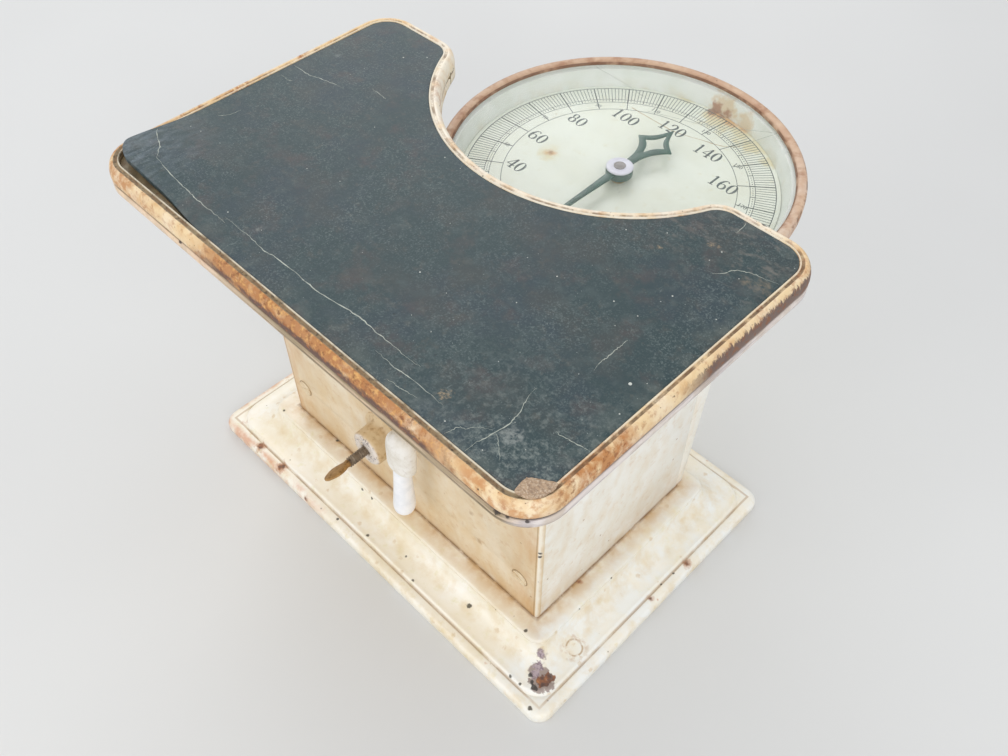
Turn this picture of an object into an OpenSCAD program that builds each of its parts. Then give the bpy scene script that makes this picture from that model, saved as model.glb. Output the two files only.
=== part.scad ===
// Antique personal weighing scale: a low platform with a rubber mat on a cast and
// enamelled casing, a moulded plinth, and a round spring dial behind the platform.
// Frame: +Z up, +Y from the user towards the dial, +X to the user's right.
// The origin lies on the floor under the middle of the whole outline.

/* [Platform] */
// Width of the platform over its rim
platform_w = 309; // [308:1:330]
// Depth of the platform over its rim
platform_d = 200; // [192:1:214]
// Radius of the platform's outer corners
platform_corner_r = 26; // [20:1:34]
// Height of the mat's top above the floor
platform_z = 242; // [240:1:262]
// How far the middle of the platform lies in front of the middle of the base
platform_lead = 22.8; // [18:0.2:28]
// Height of the platform's rim and skirt
rim_h = 15; // [13:0.5:18]
// Width of the rounded rim outside the mat
rim_w = 6.4; // [5.5:0.1:8]
// Thickness of the platform's cast plate
plate_t = 4; // [3:0.5:5]
// Thickness of the mat
mat_t = 3; // [2:0.5:4]
// Radius of the notch that clears the dial
notch_r = 98; // [90:1:104]
// How far the notch's centre lies in front of the dial's centre
notch_lead = 7.1; // [5:0.1:10]
// Radius of the two horns beside the notch
horn_r = 18; // [14:0.5:22]
// Width of a platform post across the scale
post_w = 8; // [6:0.5:9]
// Depth of a platform post
post_d = 12; // [9:0.5:13]

/* [Casing] */
// Width of the casing
box_w = 225.2; // [222:0.5:236]
// Depth of the casing from its front to its rear seam
box_d = 130.2; // [128:0.2:134]
// How far the casing's middle lies in front of the base's middle
box_lead = 1.3; // [0:0.1:2]
// Thickness of the casing walls
wall_t = 3; // [2:0.25:3.5]
// Gap between the casing's top edge and the platform's skirt
lid_gap = 11; // [8:0.5:14]
// Depth of the rear cover at its foot
cover_foot_d = 6; // [5:0.5:9]
// Depth of the rear cover at its top
cover_top_d = 15; // [12:0.5:18]
// Width of the flanges that the walls are screwed by
flange_w = 20; // [16:0.5:20]
// Height of the front screws above the floor
front_screw_z = 54; // [48:0.5:60]
// Distance of a front screw from the casing's side
front_screw_in = 14.6; // [13.6:0.1:15.6]
// Diameter of a front screw's head
front_head_d = 11; // [8:0.5:12]

/* [Base] */
// Width of the base
base_w = 306; // [296:1:306]
// Depth of the base
base_d = 212; // [206:1:220]
// Height of the base where the casing stands
base_h = 23; // [21:0.5:26]
// Radius of the base's outer corners
base_corner_r = 18; // [14:0.5:22]
// Height of the base's rounded outer lip
lip_h = 8; // [6:0.5:9]
// Distance of the moulding's groove from the outer edge
groove_in = 6.6; // [5:0.1:8]
// Distance of the moulding's upper ridge from the outer edge
ridge_in = 28; // [26:0.5:30]
// Thickness of the cast base
base_t = 5; // [4:0.5:6]

/* [Dial] */
// Distance of the dial's centre behind the middle of the base
dial_reach = 116.9; // [114:0.1:122]
// Height of the dial's rim
dial_rim_z = 192.8; // [190:0.1:196]
// Outer radius of the bezel
bezel_r = 108.2; // [106:0.1:112]
// Width of the bezel ring
bezel_w = 6.5; // [5:0.5:8]
// Height of the bezel ring's side
bezel_h = 7; // [5:0.5:8]
// Thickness of the bezel ring over the glass
bezel_lip = 2.4; // [2:0.1:3]
// Depth of the dial face below the rim
face_drop = 15; // [13:0.5:17]
// Radius of the dial face
face_r = 96; // [94:0.5:97]
// Thickness of the dial face
face_t = 1.2; // [0.8:0.1:2]
// Radius of the dial pan's flat floor
pan_floor_r = 84; // [78:1:90]
// Thickness of the dial pan
pan_t = 2.5; // [2:0.25:3]
// Depth of the space for the rack under the dial face
pan_room = 16; // [14:0.5:18]
// Thickness of the glass
glass_t = 2; // [1.5:0.25:3]
// Length of the pointer's tapered end
pointer_len = 88; // [70:1:92]
// Length of the pointer's diamond end
diamond_len = 52; // [44:1:60]
// Width of the diamond
diamond_w = 26; // [18:0.5:28]
// Diameter of the cap on the pointer
cap_d = 16.4; // [12:0.2:18]

/* [Levers] */
// Distance of the fulcrum edges from the casing's side
fulcrum_in = 9.6; // [8.6:0.1:10.6]
// Distance from a fulcrum edge to the load edge of the same lever
load_arm = 15; // [14.5:0.5:16]
// Height of the long lever's edges above the floor
long_z = 80; // [76:1:84]
// Height of the short lever's edges above the floor
short_z = 48; // [46:1:50]
// Distance of the front posts in front of the middle of the base
post_front = 45; // [42:0.5:47]
// Distance of the rear posts behind the middle of the base
post_rear = 35; // [33:0.5:37]
// Distance of the main spring from the fulcrum edges of the short lever
spring_in = 35; // [33:0.5:39]
// Distance of the transfer link from the main spring
transfer_in = 18; // [17:0.5:22]
// Height of the lever castings
lever_h = 12; // [10:0.5:14]
// Width of a lever's arm at its nose
nose_w = 8; // [6:0.5:9]
// Length of a knife edge that stands out of its lever
edge_len = 15; // [14:0.5:16]
// Height of a knife edge
edge_h = 5; // [4:0.25:5.5]
// Turn of the levers from no load to full load, in degrees
lever_turn = 5.72; // [5:0.01:5.72]

/* [Dial drive] */
// Number of teeth on the pinion
pinion_teeth = 14; // [12:1:16]
// Module of the rack and the pinion
tooth_m = 0.6; // [0.5:0.05:0.65]
// Width of the rack
rack_w = 5; // [4:0.5:6]
// Height of the rack's middle above the pan's floor
rack_rise = 8; // [7.5:0.1:9]
// Swing of the rocker to each side of its middle, in degrees
rocker_swing = 15; // [13:0.5:16]
// Diameter of the rocker shaft
rocker_shaft_d = 5; // [4:0.5:6]
// Diameter of the pointer shaft
pointer_shaft_d = 4; // [3:0.5:4.5]

/* [Main spring] */
// Middle diameter of the coils
coil_d = 15; // [13:0.5:16]
// Diameter of the spring wire
wire_d = 2.2; // [1.8:0.1:2.6]
// Number of turns
coil_turns = 9; // [6:1:10]

/* [Zero screw] */
// Distance of the zero screw to the left of the middle
zero_x = 15; // [13:0.5:18]
// Height of the zero screw
zero_z = 81; // [76:0.5:86]
// Diameter of the zero screw
zero_d = 6.35; // [5:0.05:7]
// Length of the zero screw that shows outside its boss
zero_out = 30; // [24:0.5:34]
// Diameter of the boss
boss_d = 24; // [20:0.5:26]
// How far the boss stands out of the casing
boss_len = 15; // [12:0.5:17]
// Height of the rocker that the zero screw turns
zero_shaft_z = 150; // [146:0.5:156]
// Diameter of that rocker's shaft
zero_shaft_d = 6; // [5:0.5:7]

/* [Locking lever] */
// Distance of the locking lever to the right of the middle
lock_x = 17; // [15:0.5:22]
// Height of the locking lever's pivot
lock_z = 118; // [114:0.5:122]
// Diameter of the locking lever's head
lock_head_d = 27; // [22:0.5:30]
// Length of the handle from the pivot to its end
lock_len = 74; // [60:1:80]
// Diameter of the handle at its neck
lock_neck_d = 11; // [9:0.5:12]
// Diameter of the handle at its thick end
lock_end_d = 16; // [13:0.5:18]
// Diameter of the locking lever's shaft
lock_shaft_d = 8; // [6:0.5:9]

/* [Hidden] */
$fn = 64;
// Gap between bodies that move past each other
gap = 0.3;
// Radial clearance of a shaft in its bearing
fit = 0.05;
// Overshoot of a cut past the face that it opens
cut = 1;

// Places along Y, all from the middle of the base
base_y = -(dial_reach + bezel_r - platform_d / 2 - platform_lead) / 2;
platform_y = base_y - platform_lead;
box_y = base_y - box_lead;
front_y = box_y - box_d / 2;
inner_front_y = front_y + wall_t;
seam_y = box_y + box_d / 2;
dial_y = base_y + dial_reach;
notch_y = dial_y - notch_lead;
post_front_y = base_y - post_front;
post_rear_y = base_y + post_rear;
post_ys = [post_front_y, post_rear_y];
lever_y = (post_front_y + post_rear_y) / 2;

// Places across the scale, all from its middle
fulcrum_x = box_w / 2 - fulcrum_in;
front_screw_x = box_w / 2 - front_screw_in;
spring_x = fulcrum_x - spring_in;
transfer_x = spring_x - transfer_in;

// Platform
skirt_z = platform_z - rim_h;
plate_top_z = platform_z - mat_t;
plate_z = plate_top_z - plate_t;
post_x = fulcrum_x - load_arm;
rib_t = 4;
rib_drop = plate_z - skirt_z - 1;
socket_wall = 3;

// Casing
wall_top_z = skirt_z - lid_gap;
box_in_x = box_w / 2 - wall_t;
screw_r = 2;
head_t = 1;

// Dial
face_top_z = dial_rim_z - face_drop;
pan_in_z = face_top_z - face_t - pan_room;
pan_z = pan_in_z - pan_t;
pan_top_z = dial_rim_z - bezel_lip;
pan_in_r = bezel_r - bezel_w;
shoulder_w = 3;
glass_z = pan_top_z - glass_t;
shelf_w = 3;

// Dial drive
pitch_r = tooth_m * pinion_teeth / 2;
// Turn of the levers that would carry the pointer once round
lap_turn = 18 / PI;
rack_stroke = 2 * PI * pitch_r * lever_turn / lap_turn;
rack_z = pan_in_z + rack_rise;
rocker_up = rack_stroke / (2 * tan(rocker_swing));
rocker_z = rack_z - rocker_up;
transfer_drop = (fulcrum_x + transfer_x) * sin(lever_turn);
rocker_side = transfer_drop / (2 * tan(rocker_swing));
link_t = 2.5;
transfer_y = lever_y + nose_w / 2 + 2 + link_t / 2;
rocker_y = transfer_y + rocker_side;
rack_pin_r = 1.5;
arm_t = 3;
rack_in_x = pitch_r + 1.1 * tooth_m;
rack_out_x = rack_in_x + rack_w;
arm_x = rack_out_x + gap;

// Zero rocker
zero_y = inner_front_y + 13;
pad_t = 3.5;
pad_d = 9;
pad_y = inner_front_y + 3;
zero_reach = lever_y - zero_y;

// Mat, rim and plate outlines share these centres; an inset changes only the radii
horn_y = platform_y + platform_d / 2 - horn_r;
horn_x = round(100 * sqrt(pow(notch_r + horn_r, 2) - pow(notch_y - horn_y, 2))) / 100;
horn_turn = atan2(notch_y - horn_y, horn_x);

module round_rect(w, d, r) {
  square([w - 2 * r, d], center = true);
  square([w, d - 2 * r], center = true);
  for (sx = [-1, 1], sy = [-1, 1])
    translate([sx * (w / 2 - r), sy * (d / 2 - r)]) circle(r);
}

// Platform outline moved inwards by inset
module platform_outline(inset) {
  back = platform_y + platform_d / 2 - inset;
  in_x = horn_x * (notch_y - back - cut) / (notch_y - horn_y);
  difference() {
    translate([0, platform_y])
      round_rect(platform_w - 2 * inset, platform_d - 2 * inset, platform_corner_r - inset);
    translate([0, notch_y]) circle(notch_r + inset, $fn = 128);
    for (s = [-1, 1])
      polygon([[s * horn_x, horn_y], [s * horn_x, back + cut], [s * in_x, back + cut]]);
  }
  for (s = [-1, 1]) translate([s * horn_x, horn_y]) circle(horn_r - inset);
}

// A straight stretch of a cross-section from p along heading: the section's x points
// to the left of the heading and its y points up
module stretch(p, heading, len) {
  translate(p) rotate([90, 0, heading + 90]) linear_extrude(len) children();
}

// An outer bend about centre c from angle a: the section's x points towards the centre
module outer_bend(c, r, a, sweep) {
  translate(c) rotate([0, 0, a]) rotate_extrude(angle = sweep)
    translate([r, 0]) mirror([1, 0]) children();
}

// An inner bend about centre c from angle a: the section's x points away from the centre
module inner_bend(c, r, a, sweep) {
  translate(c) rotate([0, 0, a]) rotate_extrude(angle = sweep, $fn = 128)
    translate([r, 0]) children();
}

// Carries the rim's section once round the platform's edge. The bend along the notch is
// a hair slimmer and reaches a little into both horns
module platform_rim() {
  slim = 0.03;
  reach = 0.3;
  r = platform_corner_r;
  side = platform_w / 2;
  front = platform_y - platform_d / 2;
  back = platform_y + platform_d / 2;
  stretch([-side + r, front, skirt_z], 0, platform_w - 2 * r) rim_section();
  for (s = [0, 1]) mirror([s, 0, 0]) {
    outer_bend([side - r, front + r, skirt_z], r, -90, 90) rim_section();
    stretch([side, front + r, skirt_z], 90, platform_d - 2 * r) rim_section();
    outer_bend([side - r, back - r, skirt_z], r, 0, 90) rim_section();
    stretch([side - r, back, skirt_z], 180, side - r - horn_x) rim_section();
    outer_bend([horn_x, horn_y, skirt_z], horn_r, 90, 90 - horn_turn) rim_section();
  }
  inner_bend([0, notch_y, skirt_z], notch_r, horn_turn - 180 - reach, 180 - 2 * horn_turn + 2 * reach)
    rim_section(slim);
}

// Section of the rim: a short skirt, a groove, a broad rounded band and a thin inner lip
module rim_section(d = 0) {
  skirt_h = rim_h / 3;
  groove = 1.2;
  band_z = skirt_h + 1.8 + d;
  band_w = rim_w - 1.2 - d;
  top = rim_h + 0.4 - d;
  low = rim_h - mat_t - plate_t / 2;
  polygon(concat(
    [[1 + d, d], [d, 1 + d], [d, skirt_h - d], [groove + d, skirt_h + 0.6 - d],
     [groove + d, band_z - 0.6]],
    [for (a = [0 : 10 : 90]) [d + (band_w - d) * (1 - cos(a)), band_z + (top - band_z) * sin(a)]],
    [[rim_w - 0.4 - d, top - 0.1], [rim_w - d, top - 0.6], [rim_w - d, low + d],
     [wall_t + 0.5 - d, low - 3 + d], [wall_t - d, d]]
  ));
}

module platform_casting() color("#e6c79a") {
  difference() {
    union() {
      platform_rim();
      translate([0, 0, plate_z]) linear_extrude(plate_t) platform_outline(rim_w - 0.5);
      translate([0, 0, plate_z - rib_drop]) linear_extrude(rib_drop) intersection() {
        platform_outline(wall_t - 0.5);
        union() {
          for (y = post_ys) translate([-platform_w / 2, y - rib_t / 2]) square([platform_w, rib_t]);
          for (x = [-post_x, -post_x / 3, post_x / 3, post_x])
            translate([x - rib_t / 2, platform_y - platform_d / 2]) square([rib_t, platform_d]);
        }
      }
      for (x = [-post_x, post_x], y = post_ys) translate([x, y, plate_z - rib_drop / 2])
        cube([post_w + 2 * socket_wall, post_d + 2 * socket_wall, rib_drop], center = true);
    }
    for (x = [-post_x, post_x], y = post_ys) {
      translate([x, y, plate_z - rib_drop / 2 - cut / 2])
        cube([post_w, post_d, rib_drop + cut], center = true);
      post_screw(x, y, fit);
    }
  }
}

module platform_mat() color("#32464a") {
  bevel = 0.6;
  translate([0, 0, plate_top_z]) linear_extrude(mat_t - bevel) platform_outline(rim_w + 0.1);
  translate([0, 0, platform_z - bevel]) linear_extrude(bevel) platform_outline(rim_w + 0.1 + bevel);
}

// A countersunk screw that holds a post under the platform
module post_screw(x, y, grow) {
  head_h = 2;
  bite = 14;
  translate([x, y, plate_top_z - head_h])
    cylinder(h = head_h, r1 = screw_r + grow, r2 = 2 * screw_r + grow);
  translate([x, y, plate_z - bite]) cylinder(h = plate_t + bite - head_h, r = screw_r + grow);
}

module post_screws() color("#8a8478") {
  for (x = [-post_x, post_x], y = post_ys) post_screw(x, y, 0);
}

// A V groove across a bearing, its bottom at the origin and open upwards
module vee(flat = 0) {
  depth = 6;
  side = depth * tan(40);
  polygon([[-flat, 0], [flat, 0], [flat + side, depth], [-flat - side, depth]]);
}

// Turns a section in X and Z into a bar that runs along Y from y by len
module along_y(x, y, z, len) {
  translate([x, y + len, z]) rotate([90, 0, 0]) linear_extrude(len) children();
}

groove_d = 3.5;
foot_w = 11;

// A post under the platform; its foot rests on the load edge at height z
module platform_post(x, y, z) {
  foot_z = z + gap - groove_d;
  foot_h = 16;
  difference() {
    union() {
      translate([x - post_w / 2, y - post_d / 2, foot_z]) cube([post_w, post_d, plate_z - foot_z]);
      translate([x - foot_w / 2, y - post_d / 2, foot_z]) cube([foot_w, post_d, foot_h]);
    }
    along_y(x, y - post_d / 2 - cut, z + gap, post_d + 2 * cut) mirror([0, 1]) vee();
    post_screw(x, y, fit);
  }
}

module platform_posts() color("#6a6560") {
  for (y = post_ys) {
    platform_post(-post_x, y, long_z);
    platform_post(post_x, y, short_z);
  }
}

// Casing

module side_panel() {
  h = wall_top_z - base_h;
  ear_x = sqrt(pow(bezel_r + 2, 2) - pow(dial_y - seam_y, 2));
  foot_len = 46;
  foot_w = 9;
  translate([box_in_x, inner_front_y, base_h]) cube([wall_t, seam_y - inner_front_y, h]);
  difference() {
    translate([box_in_x - flange_w, inner_front_y, base_h]) cube([flange_w, wall_t, h]);
    translate([front_screw_x, inner_front_y + wall_t + cut, front_screw_z]) rotate([90, 0, 0])
      cylinder(h = wall_t + 2 * cut, r = screw_r + fit);
  }
  translate([ear_x, seam_y - wall_t, base_h]) cube([box_in_x - ear_x, wall_t, h]);
  translate([box_in_x - foot_w, lever_y - foot_len / 2, base_h]) cube([foot_w, foot_len, wall_t]);
}

module right_panel() color("#efe6d2") side_panel();

module left_panel() color("#efe6d2") mirror([1, 0, 0]) side_panel();

module front_panel() color("#efe6d2") {
  edge_r = wall_t - 0.5;
  difference() {
    translate([0, 0, base_h]) linear_extrude(wall_top_z - base_h) intersection() {
      translate([0, front_y + 2 * wall_t]) round_rect(box_w, 4 * wall_t, edge_r);
      translate([-box_w / 2, front_y]) square([box_w, wall_t]);
    }
    for (s = [-1, 1]) translate([s * front_screw_x, inner_front_y + cut, front_screw_z])
      rotate([90, 0, 0]) cylinder(h = wall_t + 2 * cut, r = screw_r + fit);
    translate([-zero_x, inner_front_y + cut, zero_z]) rotate([90, 0, 0])
      cylinder(h = wall_t + 2 * cut, r = boss_d / 3);
    translate([lock_x, inner_front_y + cut, lock_z]) rotate([90, 0, 0])
      cylinder(h = wall_t + 2 * cut, r = lock_shaft_d / 2 + 2);
  }
}

module front_panel_screws() color("#e5d8bd") {
  for (s = [-1, 1]) translate([s * front_screw_x, front_y, front_screw_z]) rotate([90, 0, 0]) {
    cylinder(h = head_t, r = front_head_d / 2);
    translate([0, 0, -2 * wall_t - 2]) cylinder(h = 2 * wall_t + 2, r = screw_r);
  }
}

// The rear cover leans outwards towards its top and carries the back of the dial pan
module rear_cover() color("#efe6d2") {
  h = pan_z - base_h;
  difference() {
    translate([box_w / 2, 0, 0]) rotate([90, 0, -90]) linear_extrude(box_w)
      polygon([[-seam_y, base_h], [-seam_y - cover_foot_d, base_h], [-seam_y - cover_top_d, pan_z],
               [-seam_y, pan_z]]);
    translate([box_in_x, 0, 0]) rotate([90, 0, -90]) linear_extrude(2 * box_in_x)
      polygon([[-seam_y + cut, base_h - cut], [-seam_y - cover_foot_d + wall_t, base_h - cut],
               [-seam_y - cover_top_d + wall_t, pan_z - wall_t], [-seam_y + cut, pan_z - wall_t]]);
  }
}

// Bosses on the front wall

module zero_screw_boss() color("#d9c3a0") {
  r = boss_d / 2;
  round_r = 2.5;
  flare = 5;
  difference() {
    translate([-zero_x, front_y, zero_z]) rotate([90, 0, 0]) rotate_extrude()
      polygon(concat(
        [[0, -wall_t - 2], [boss_d / 3, -wall_t - 2], [boss_d / 3, 0]],
        [for (a = [0 : 15 : 90]) [r + flare * (1 - sin(a)), flare * (1 - cos(a)) * 0.8]],
        [for (a = [0 : 15 : 90])
          [r - round_r * (1 - cos(a)), boss_len - round_r * (1 - sin(a))]],
        [[0, boss_len]]
      ));
    translate([-zero_x, front_y + wall_t + 2 + cut, zero_z]) rotate([90, 0, 0])
      cylinder(h = boss_len + wall_t + 2 + 2 * cut, r = zero_d / 2 + fit);
  }
}

// The zero screw: its threaded shank, a short neck and a flattened thumb end
module zero_screw() color("#8a6a40") {
  thread_out = 0.42 * zero_out;
  neck = 3;
  thumb_r = 0.2 * zero_out;
  thumb_t = 0.45 * zero_d;
  tip = boss_len + zero_out;
  inner = pad_y - front_y;
  translate([-zero_x, front_y, zero_z]) rotate([90, 0, 0]) {
    translate([0, 0, -inner]) cylinder(h = inner + boss_len + thread_out, r = zero_d / 2);
    translate([0, 0, boss_len + thread_out - cut]) cylinder(h = neck + cut, r = 0.36 * zero_d);
    rotate([0, 0, -20]) rotate([90, 0, 0]) translate([0, 0, -thumb_t / 2]) linear_extrude(thumb_t) {
      translate([0, tip - thumb_r]) circle(thumb_r);
      polygon([
        [-0.36 * zero_d, boss_len + thread_out], [0.36 * zero_d, boss_len + thread_out],
        [thumb_r, tip - thumb_r], [-thumb_r, tip - thumb_r]
      ]);
    }
  }
}

module swivel_pad() color("#6e6a64") {
  translate([-zero_x, pad_y + pad_t, zero_z]) rotate([90, 0, 0]) cylinder(h = pad_t, r = pad_d / 2);
}

// Two arms on one shaft: the zero screw pushes the lower one, the spring hangs from the other
module zero_arms() color("#77726a") {
  hub_r = zero_shaft_d / 2 + 3;
  arm_w = 6;
  push_y = pad_y + pad_t + gap;
  top_z = zero_shaft_z - hub_r - 1;
  difference() {
    union() {
      translate([-zero_x - arm_w / 2, zero_y, zero_shaft_z]) rotate([0, 90, 0])
        cylinder(h = arm_w, r = hub_r);
      translate([-zero_x - arm_w / 2, push_y, zero_z - pad_d / 2])
        cube([arm_w, 5, zero_shaft_z - zero_z]);
      translate([-zero_x - arm_w / 2, push_y, zero_shaft_z - pad_d / 2 - 7])
        cube([arm_w, zero_y - push_y, 9]);
    }
    zero_bore();
  }
  difference() {
    union() {
      translate([spring_x - arm_w / 2, zero_y, zero_shaft_z]) rotate([0, 90, 0])
        cylinder(h = arm_w, r = hub_r);
      translate([spring_x - arm_w / 2, zero_y, zero_shaft_z - 5]) cube([arm_w, zero_reach, 10]);
      translate([spring_x, lever_y, zero_shaft_z - 5]) cylinder(h = 10, r = coil_d / 2 + 2);
      translate([spring_x, lever_y, zero_shaft_z - 5 - plug_h]) cylinder(h = plug_h + cut, r = plug_r);
    }
    zero_bore();
  }
}

plug_h = 7;
plug_r = (coil_d - wire_d) / 2 - gap;

module zero_bore() {
  translate([-box_in_x, zero_y, zero_shaft_z]) rotate([0, 90, 0])
    cylinder(h = 2 * box_in_x, r = zero_shaft_d / 2);
}

zero_shaft_in = -zero_x - 13;
zero_shaft_out = spring_x + 11;

module zero_shaft() color("#9a958c") {
  translate([zero_shaft_in, zero_y, zero_shaft_z]) rotate([0, 90, 0])
    cylinder(h = zero_shaft_out - zero_shaft_in, r = zero_shaft_d / 2);
}

module zero_shaft_brackets() color("#77726a") {
  t = 3;
  r = zero_shaft_d / 2 + 3;
  for (x = [zero_shaft_in + 1, zero_shaft_out - 1 - t]) difference() {
    union() {
      translate([x, inner_front_y, zero_shaft_z - r]) cube([t, zero_y - inner_front_y, 2 * r]);
      translate([x, zero_y, zero_shaft_z]) rotate([0, 90, 0]) cylinder(h = t, r = r);
      translate([x - 4, inner_front_y, zero_shaft_z - r]) cube([t + 8, 2, 2 * r]);
    }
    translate([x - cut, zero_y, zero_shaft_z]) rotate([0, 90, 0])
      cylinder(h = t + 2 * cut, r = zero_shaft_d / 2 + fit);
  }
}

// Locking lever

lock_y = front_y - 15;
lock_head_t = 12;

module lock_bush() color("#d9c3a0") {
  r = lock_shaft_d / 2;
  difference() {
    translate([lock_x, inner_front_y + 1.5, lock_z]) rotate([90, 0, 0]) {
      cylinder(h = wall_t + 1.5, r = r + 2);
      translate([0, 0, wall_t + 1.5]) cylinder(h = 4, r = r + 5);
    }
    translate([lock_x, inner_front_y + 1.5 + cut, lock_z]) rotate([90, 0, 0])
      cylinder(h = wall_t + 6 + 2 * cut, r = r + fit);
  }
}

module lock_lever() color("#f4f3ef") {
  head_r = lock_head_d / 2;
  round_r = 2.5;
  neck_z = head_r - 4;
  end_r = lock_end_d / 2;
  difference() {
    union() {
      translate([lock_x, lock_y + lock_head_t / 2, lock_z]) rotate([90, 0, 0]) rotate_extrude()
        polygon([
          [0, 0], [head_r - round_r, 0], [head_r, round_r], [head_r, lock_head_t - round_r],
          [head_r - round_r, lock_head_t], [0, lock_head_t]
        ]);
      translate([lock_x, lock_y, lock_z - lock_len + end_r]) {
        cylinder(h = lock_len - end_r - neck_z, r1 = end_r, r2 = lock_neck_d / 2);
        sphere(end_r);
      }
    }
    translate([lock_x, lock_y + lock_head_t / 2 + cut, lock_z]) rotate([90, 0, 0])
      cylinder(h = lock_head_t / 2 + cut, r = lock_shaft_d / 2);
  }
}

module lock_shaft() color("#9a958c") {
  back = inner_front_y + 9;
  translate([lock_x, back, lock_z]) rotate([90, 0, 0])
    cylinder(h = back - lock_y, r = lock_shaft_d / 2);
}

// The eccentric on the inner end of the shaft
module lock_cam() color("#77726a") {
  cam_t = 5;
  throw = 3;
  difference() {
    translate([lock_x, inner_front_y + 3.5 + cam_t, lock_z + throw]) rotate([90, 0, 0])
      cylinder(h = cam_t, r = lock_shaft_d / 2 + 3 + throw);
    translate([lock_x, inner_front_y + 3.5 + cam_t + cut, lock_z]) rotate([90, 0, 0])
      cylinder(h = cam_t + 2 * cut, r = lock_shaft_d / 2);
  }
}

// Base

// Height of the base's moulding at a distance u inwards from the edge: a rounded lip, a
// groove, a bead and a hollow curve that steepens up to the ridge
module base_section(half, drop) {
  lip_r = 2.5;
  bead_z = lip_h + 2.6;
  ridge_r = 1.2;
  run_u = ridge_in - groove_in - 3;
  polygon(concat(
    [[0, -drop], [0, lip_h - lip_r]],
    [for (a = [30 : 30 : 90]) [lip_r * (1 - cos(a)), lip_h - lip_r + lip_r * sin(a)]],
    [[groove_in - 0.8, lip_h + 1], [groove_in, lip_h + 0.2], [groove_in + 1, lip_h + 1.6],
     [groove_in + 2.2, bead_z]],
    [for (i = [1 : 8]) [groove_in + 3 + run_u * sin(i * 11.25),
      bead_z - 0.4 + (base_h + 0.4 - bead_z) * (1 - cos(i * 11.25))]],
    [[ridge_in + ridge_r, base_h], [half, base_h], [half, -drop]]
  ));
}

// A block whose four sides have the base's moulding, with rounded outer corners
module moulded_block(drop) {
  r = base_corner_r;
  translate([0, base_y, 0]) {
    difference() {
      intersection() {
        for (s = [0, 1]) mirror([0, s, 0])
          translate([-base_w / 2, -base_d / 2, 0]) rotate([90, 0, 90]) linear_extrude(base_w)
            base_section(base_d / 2, drop);
        for (s = [0, 1]) mirror([s, 0, 0])
          translate([-base_w / 2, base_d / 2, 0]) rotate([90, 0, 0]) linear_extrude(base_d)
            base_section(base_w / 2, drop);
      }
      for (sx = [-1, 1], sy = [-1, 1])
        translate([sx * (base_w / 2 - r / 2 + cut / 2), sy * (base_d / 2 - r / 2 + cut / 2), base_h / 2])
          cube([r + cut, r + cut, 2 * base_h], center = true);
    }
    for (i = [0 : 3]) {
      sx = (i == 0 || i == 3) ? 1 : -1;
      sy = i < 2 ? 1 : -1;
      translate([sx * (base_w / 2 - r), sy * (base_d / 2 - r), 0]) rotate([0, 0, 90 * i])
        rotate_extrude(angle = 90) intersection() {
          translate([r, 0]) mirror([1, 0]) base_section(r + cut, drop);
          square([r, base_h]);
        }
    }
  }
}

module base_plinth() color("#efe6d2") {
  steps = [[groove_in, lip_h / 2 + 0.5], [ridge_in - 8, lip_h], [ridge_in + 2, base_h - base_t]];
  rib_h = 6;
  difference() {
    moulded_block(0);
    for (s = steps) translate([0, base_y, -cut]) linear_extrude(s[1] + cut)
      round_rect(base_w - 2 * s[0], base_d - 2 * s[0], base_corner_r - s[0] / 2);
  }
  for (y = [-1, 1]) translate([-box_w / 2, base_y + y * base_d / 6 - rib_t / 2, base_h - base_t - rib_h])
    cube([box_w, rib_t, rib_h + cut]);
  for (x = [-1, 0, 1]) translate([x * box_w / 3 - rib_t / 2, base_y - base_d / 3, base_h - base_t - rib_h])
    cube([rib_t, base_d * 2 / 3, rib_h + cut]);
}

// Levers

bar_front = post_front_y + edge_len / 2;
bar_rear = post_rear_y - edge_len / 2;
edge_half = 0.4 * edge_h;

// A knife edge along Y with its sharp side down, or up with a negative h
module knife(x, z, y, len, h) {
  along_y(x, y, z, len) polygon([[0, 0], [edge_half, h], [-edge_half, h]]);
}

// The hardened edges of a lever: fulcrum edge down, load edge up, both through the bar
module lever_edges(z) {
  y = bar_front - edge_len;
  len = bar_rear - bar_front + 2 * edge_len;
  knife(-fulcrum_x, z, y, len, edge_h);
  knife(-post_x, z, y, len, -edge_h);
}

// The open triangular casting of a lever, from its fulcrum bar to its nose
module lever_casting(z, knee_x, nose_x) {
  bar_w = load_arm + 10;
  bar_x = -fulcrum_x - 5;
  leg_w = 7;
  inner_x = bar_x + bar_w;
  half = (bar_rear - bar_front) / 2;
  translate([0, 0, z - lever_h / 2]) linear_extrude(lever_h) {
    translate([bar_x, bar_front]) square([bar_w, 2 * half]);
    difference() {
      polygon([
        [inner_x, bar_front], [knee_x, lever_y - nose_w / 2],
        [knee_x, lever_y + nose_w / 2], [inner_x, bar_rear]
      ]);
      for (s = [-1, 1]) polygon([
        [inner_x, lever_y + s * nose_w / 2], [inner_x, lever_y + s * (half - leg_w)],
        [knee_x - 14, lever_y + s * nose_w / 2]
      ]);
    }
    translate([inner_x - cut, lever_y - nose_w / 2]) square([nose_x - inner_x + cut, nose_w]);
  }
}

// Edges that cross the arm at x and stand out of it on both sides
cross_len = nose_w + 20;

module cross_edge(x, z, h) {
  knife(x, z, lever_y - cross_len / 2, cross_len, h);
}

transfer_pin_r = 2;
transfer_pin_len = transfer_y + link_t / 2 + 1 - lever_y;

module transfer_pin() {
  translate([transfer_x, lever_y + transfer_pin_len, long_z]) rotate([90, 0, 0])
    cylinder(h = transfer_pin_len, r = transfer_pin_r);
}

module long_lever_edges() color("#b9b4aa") {
  lever_edges(long_z);
  cross_edge(0, long_z, -edge_h);
  cross_edge(spring_x, long_z, edge_h);
  transfer_pin();
}

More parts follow.
